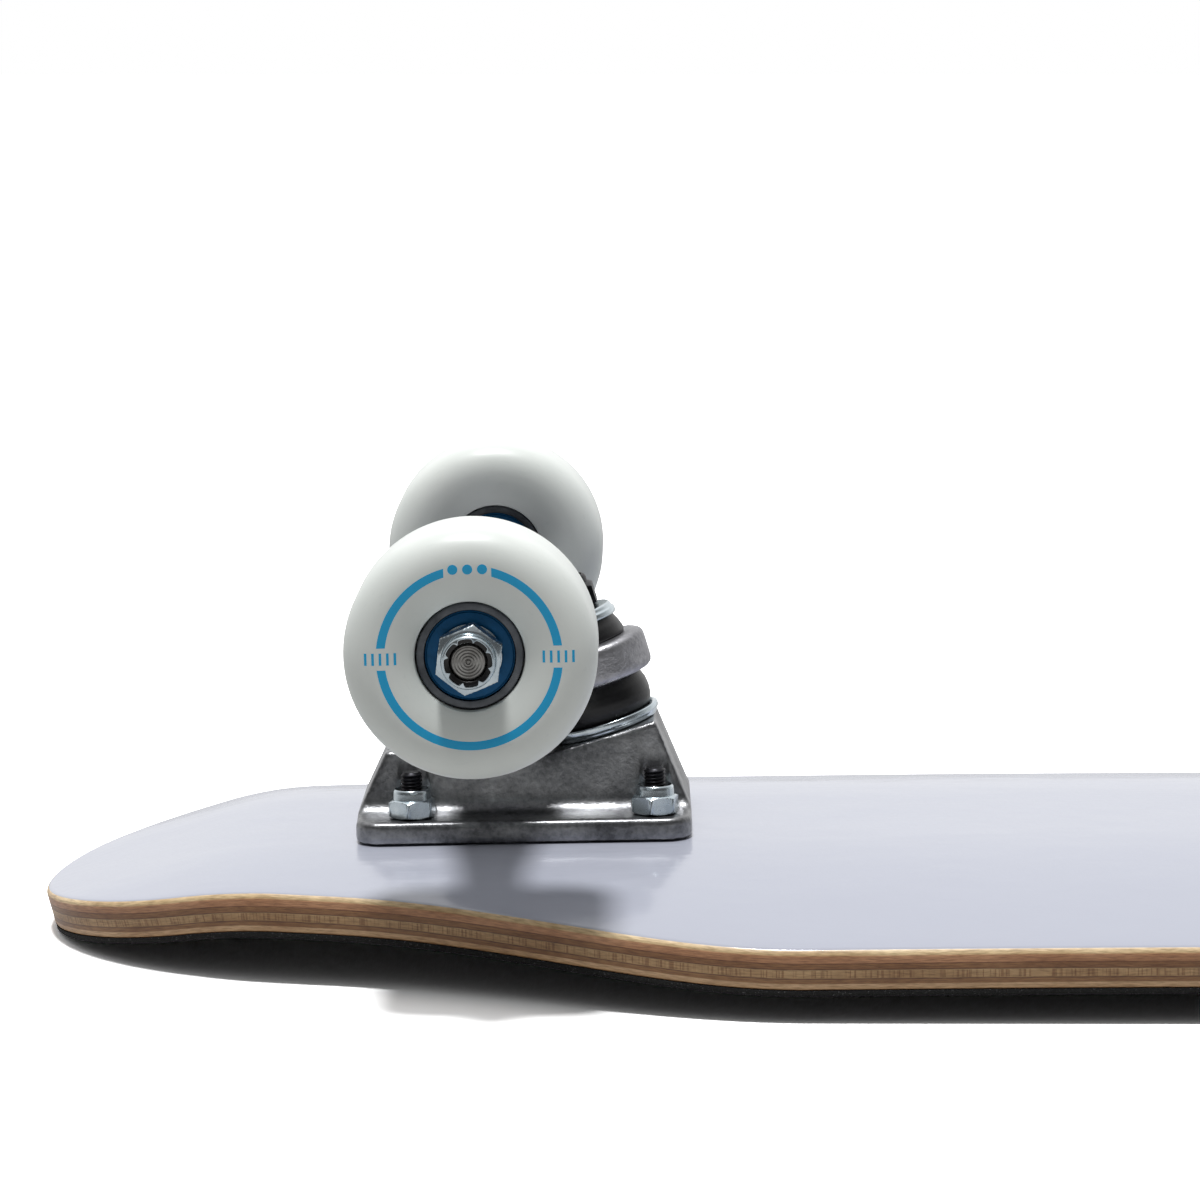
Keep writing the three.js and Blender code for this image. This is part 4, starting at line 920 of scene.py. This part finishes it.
in_bar = near(reckon(tree, "WRAP", bar_place, BAR_PITCH / 2, -BAR_PITCH / 2), 0.0, BAR_HALF_LINE)
bars = times(tree, in_bar, near(bar_place, 0.0, BARS_REACH))
bars = times(tree, bars, below(tree, off_level, BAR_HALF_HEIGHT))
printed = reckon(tree, "MAXIMUM", ring_print, reckon(tree, "MAXIMUM", dots, bars))
urethane_colour = blended(tree, handling_marks(tree, shader, 45.0, 0.30, 0.44), "E3E7E3", "DADFDB")
tree.links.new(blended(tree, printed, urethane_colour, "00A6DC"), shader.inputs["Base Color"])
bump(tree, shader, plus(tree, noise(tree, place_on_piece(tree), 1200.0), times(tree, printed, 0.6)), 0.06,
     0.0002)


# ---- Bearings, spacers, speed washers and axle nuts ----
# Two sealed ball bearings in each wheel: a ground outer ring, a blue pressed shield and an inner ring
# on the axle. A spacer stands between them, a thin washer lies on each side, and a zinc lock nut with a
# crimped collar and a black insert holds the wheel on.

BEARING_HALF, BEARING_RADIUS = 3.5, 11
INNER_BEARING, OUTER_BEARING = 72.5, 89.5
outer_ring = rounded([(9.35, -BEARING_HALF, 0.12), (BEARING_RADIUS, -BEARING_HALF, 0.35),
                      (BEARING_RADIUS, BEARING_HALF, 0.35), (9.35, BEARING_HALF, 0.12)])
shield_half = [(6.25, 2.4), (6.25, 2.95), (6.5, 3.1), (7.0, 3.12), (8.3, 3.0), (8.75, 2.95), (8.95, 2.75),
               (9.2, 2.7), (9.2, 2.4)]
shield = [(r, -y) for r, y in shield_half] + shield_half[::-1]
inner_ring = rounded([(4.0, -BEARING_HALF, 0.25), (6.0, -BEARING_HALF, 0.25), (6.0, BEARING_HALF, 0.25),
                      (4.0, BEARING_HALF, 0.25)])
spacer = rounded([(4.05, -4.9, 0.2), (5.55, -4.9, 0.2), (5.55, 4.9, 0.2), (4.05, 4.9, 0.2)])
speed_washer = rounded([(4.05, -0.48, 0.1), (6.6, -0.48, 0.2), (6.6, 0.48, 0.2), (4.05, 0.48, 0.1)])

bearing_steel = smooth_finish("bearing steel", {"Metallic": 1.0}, 200.0, (0.26, 0.42), ("63666A", "4A4D51"),
                              (1500.0,), 0.06)
shield_blue = smooth_finish("blue shield", {"IOR": 1.36, "Metallic": 0.25}, 170.0, (0.28, 0.46),
                            ("005587", "004870"), (900.0,), 0.10)

nut_shell, nut_ring = lock_nut(flats=12.7, hex_height=5.6, collar_height=2.9, bore=AXLE_RADIUS + 0.05,
                               foot=94.05, teeth=8)
nut_turn = Matrix.Rotation(math.radians(22), 4, "Z")
axle_nut = shape("axle nut", (*nut_shell, nut_turn), nut_ring)


def shifted(profile, far):
    return lathe([(r, y + far) for r, y in profile], 96)


for prefix, truck in trucks.items():
    for side in ("left", "right"):
        half_turns = (side == "left") != (prefix == "front")
        facing = Matrix.Rotation(math.pi * half_turns, 4, "Z") @ Matrix.Rotation(math.pi / 2, 4, "X")
        on_axle = truck @ Matrix.Translation(AXLE) @ facing
        corner, wheel_body, hanger_body = f"{prefix}_{side}", f"{prefix}_{side}_wheel", f"{prefix}_hanger"
        place(wheel, f"{corner}_wheel_tyre", on_axle @ Matrix.Translation((0, 0, WHEEL_MIDDLE)), wheel_body,
              "wheel_urethane", [wheel_urethane], f"{corner}_wheel")
        for which, far in (("inner", INNER_BEARING), ("outer", OUTER_BEARING)):
            bearing = shape("bearing", shifted(outer_ring, far), shifted(shield, far))
            place(bearing, f"{corner}_{which}_bearing_shielded", on_axle, wheel_body, "bearing_steel",
                  [bearing_steel, shield_blue], f"{corner}_{which}_bearing")
        cores = shape("cores", *[shifted(inner_ring, far) for far in (INNER_BEARING, OUTER_BEARING)],
                      *[shifted(speed_washer, far)
                        for far in (HANGER_HALF + 0.5, OUTER_BEARING + BEARING_HALF + 0.5)])
        place(cores, f"{corner}_inner_rings", on_axle, hanger_body, "axle_steel",
              [bearing_steel, bearing_steel, zinc, zinc])
        place(shape("spacer", shifted(spacer, WHEEL_MIDDLE)), f"{corner}_spacer_sleeve", on_axle, hanger_body,
              "axle_steel", [axle_steel], f"{corner}_spacer")
        place(axle_nut, f"{corner}_axle_lock_nut", on_axle @ Matrix.Rotation(math.pi / 6, 4, "Z"),
              hanger_body, "zinc_plate", [zinc, urethane], f"{corner}_axle_nut")


# ---- Deck bolts and their lock nuts ----
# Four countersunk black bolts per truck pass up through grip, deck and baseplate, each with a small
# zinc lock nut on the baseplate's slab. One tree sets a fastener at the four places of the pattern.

pattern, wanted, result = node_group(
    "bolt pattern", "GeometryNodeTree",
    [("Fastener", "Object", None), ("Finish", "Material", None), ("Long spacing", "Float", BOLT_LONG),
     ("Wide spacing", "Float", BOLT_WIDE), ("Turn", "Float", 1.0), ("Seed", "Int", 3)],
    [("Geometry", "Geometry")])
grid = add_node(pattern, "GeometryNodeMeshGrid", {"Size X": wanted["Long spacing"],
                                                  "Size Y": wanted["Wide spacing"], "Vertices X": 2,
                                                  "Vertices Y": 2})
turned = add_node(pattern, "FunctionNodeRandomValue", {"Max": wanted["Turn"], "Seed": wanted["Seed"]},
                  data_type="FLOAT")
rotation = add_node(pattern, "ShaderNodeCombineXYZ", {2: next(o for o in turned.outputs if o.enabled)})
fastener = add_node(pattern, "GeometryNodeObjectInfo", {"Object": wanted["Fastener"], "As Instance": True})
copies = add_node(pattern, "GeometryNodeInstanceOnPoints",
                  {"Points": grid.outputs["Mesh"], "Instance": fastener.outputs["Geometry"],
                   "Rotation": rotation.outputs[0]})
plain = add_node(pattern, "GeometryNodeRealizeInstances", {0: copies.outputs[0]})
finished = add_node(pattern, "GeometryNodeSetMaterial",
                    {"Geometry": plain.outputs[0], "Material": wanted["Finish"]})
pattern.links.new(finished.outputs[0], result["Geometry"])


def at_four_places(mesh, finish):
    """The plain mesh of four like fasteners, each turned a little differently."""
    single = in_scene("single fastener", mesh)
    holder = in_scene("fastener set", bpy.data.meshes.new("fastener set"))
    modifier = holder.modifiers.new("bolt pattern", "NODES")
    modifier.node_group = pattern
    values = {"Fastener": single, "Finish": finish, "Long spacing": BOLT_LONG, "Wide spacing": BOLT_WIDE,
              "Turn": math.radians(60), "Seed": 3}
    for item in pattern.interface.items_tree:
        if item.item_type == "SOCKET" and item.in_out == "INPUT":
            modifier[item.identifier] = values[item.name]
    bpy.context.view_layer.update()
    view = bpy.context.evaluated_depsgraph_get()
    result = bpy.data.meshes.new_from_object(holder.evaluated_get(view), depsgraph=view)
    holder.modifiers.remove(modifier)
    bpy.data.objects.remove(holder)
    bpy.data.objects.remove(single)
    result.transform(Matrix.Translation((BOLT_SHIFT, 0, 0)))
    return result


BOLT_END, DECK_NUT_FOOT, SOCKET_DEPTH = 15.3, PLATE_TOP + 0.05, 1.5
key_socket = hexagon(3.2, 2)
bolt = shape("bolt", solid([
    (key_socket, GRIP_FACE + SOCKET_DEPTH), (key_socket, GRIP_FACE + 0.1), (2.0, GRIP_FACE),
    (BOLT_HEAD_RADIUS - 0.2, GRIP_FACE), (BOLT_HEAD_RADIUS, GRIP_FACE + 0.15), (BOLT_HEAD_RADIUS, rim),
    (BOLT_RADIUS, countersink), (BOLT_RADIUS, 3.6),
    *threaded(BOLT_RADIUS, 0.79, 4.0, BOLT_END - 0.45), (BOLT_RADIUS - 0.6, BOLT_END)], 48))
nut_shell, nut_ring = lock_nut(DECK_NUT_FLATS, hex_height=4.2, collar_height=2.2, bore=BOLT_RADIUS + 0.05,
                               foot=DECK_NUT_FOOT)
bolts, nuts, inserts = (at_four_places(mesh, finish) for mesh, finish in (
    (bolt, black_steel), (shape("deck nut", nut_shell), zinc), (shape("insert", nut_ring), urethane)))
spots = [f"{end}_{side}" for end in ("outer", "inner") for side in ("left", "right")]
for prefix, truck in trucks.items():
    place(bolts, f"{prefix}_deck_bolts", truck, "deck", "black_steel", [black_steel],
          *[f"{prefix}_bolt_{spot}" for spot in spots])
    place(nuts, f"{prefix}_deck_lock_nuts", truck, "deck", "zinc_plate", [zinc],
          *[f"{prefix}_nut_{spot}" for spot in spots])
    place(inserts, f"{prefix}_deck_nut_inserts", truck, "deck", "bushing_urethane", [urethane])


# ---- Studio ----
# A white floor, one broad light from behind and above, and a room that is bright behind the board
# and dim in front of it.

floor_material = bpy.data.materials.new("floor")
floor_material.use_nodes = True
tree = floor_material.node_tree
seen = add_node(tree, "ShaderNodeLightPath").outputs["Is Camera Ray"]
# The floor throws less light on the board than the camera sees of it.
THROWN, SEEN = (0.42, 0.42, 0.42, 1), (1.6, 1.6, 1.6, 1)
paper = add_node(tree, "ShaderNodeBsdfDiffuse", {"Color": blended(tree, seen, THROWN, SEEN)})
from_below = add_node(tree, "ShaderNodeNewGeometry").outputs["Backfacing"]
see_through = add_node(tree, "ShaderNodeBsdfTransparent")
either = add_node(tree, "ShaderNodeMixShader", {0: from_below, 1: paper.outputs[0],
                                                2: see_through.outputs[0]})
tree.links.new(either.outputs[0], tree.nodes["Material Output"].inputs["Surface"])
FLOOR_REACH = 12
floor_mesh = bpy.data.meshes.new("floor")
floor_mesh.from_pydata([(x * FLOOR_REACH, y * FLOOR_REACH, 0) for x,
                        y in ((-1, -1), (1, -1), (1, 1), (-1, 1))], [], [(0, 1, 2, 3)])
floor_mesh.materials.append(floor_material)
floor = in_scene("studio_floor", floor_mesh)

sun = bpy.data.lights.new("light from above", "SUN")
sun.energy, sun.angle = 3.0, math.radians(9)
in_scene("light from above", sun).rotation_euler = (math.radians(5), math.radians(-3), 0)

world = bpy.data.worlds.new("studio room")
world.use_nodes = True
tree = world.node_tree
towards = add_node(tree, "ShaderNodeSeparateXYZ",
                   {0: add_node(tree, "ShaderNodeTexCoord").outputs["Generated"]}).outputs
backwards = spread(tree, towards[1], 0.10, 0.95, -0.35, 0.75)
overhead = spread(tree, towards[2], 0.0, 0.35, 0.55, 0.95)
glow = plus(tree, backwards, overhead)
seen = add_node(tree, "ShaderNodeLightPath").outputs["Is Camera Ray"]
strength = plus(tree, times(tree, glow, minus(tree, 1.0, seen)), seen)
tree.links.new(strength, tree.nodes["Background"].inputs["Strength"])
tree.nodes["Background"].inputs["Color"].default_value = (1, 1, 1, 1)
bpy.context.scene.world = world
bpy.context.scene.view_settings.view_transform = "Standard"

lens = bpy.data.cameras.new("camera")
lens.lens, lens.sensor_width, lens.clip_start = 122.47, 36, 0.01
FROM_FRONT_TRUCK, CAMERA_PITCH, CAMERA_HEADING = Vector((0.0230, -0.9109, 0.1821)), 81.77, 0.4
camera = in_scene("camera", lens)
camera.location = trucks["front"].translation + FROM_FRONT_TRUCK
camera.rotation_euler = (math.radians(CAMERA_PITCH), 0, math.radians(CAMERA_HEADING))
bpy.context.scene.camera = camera
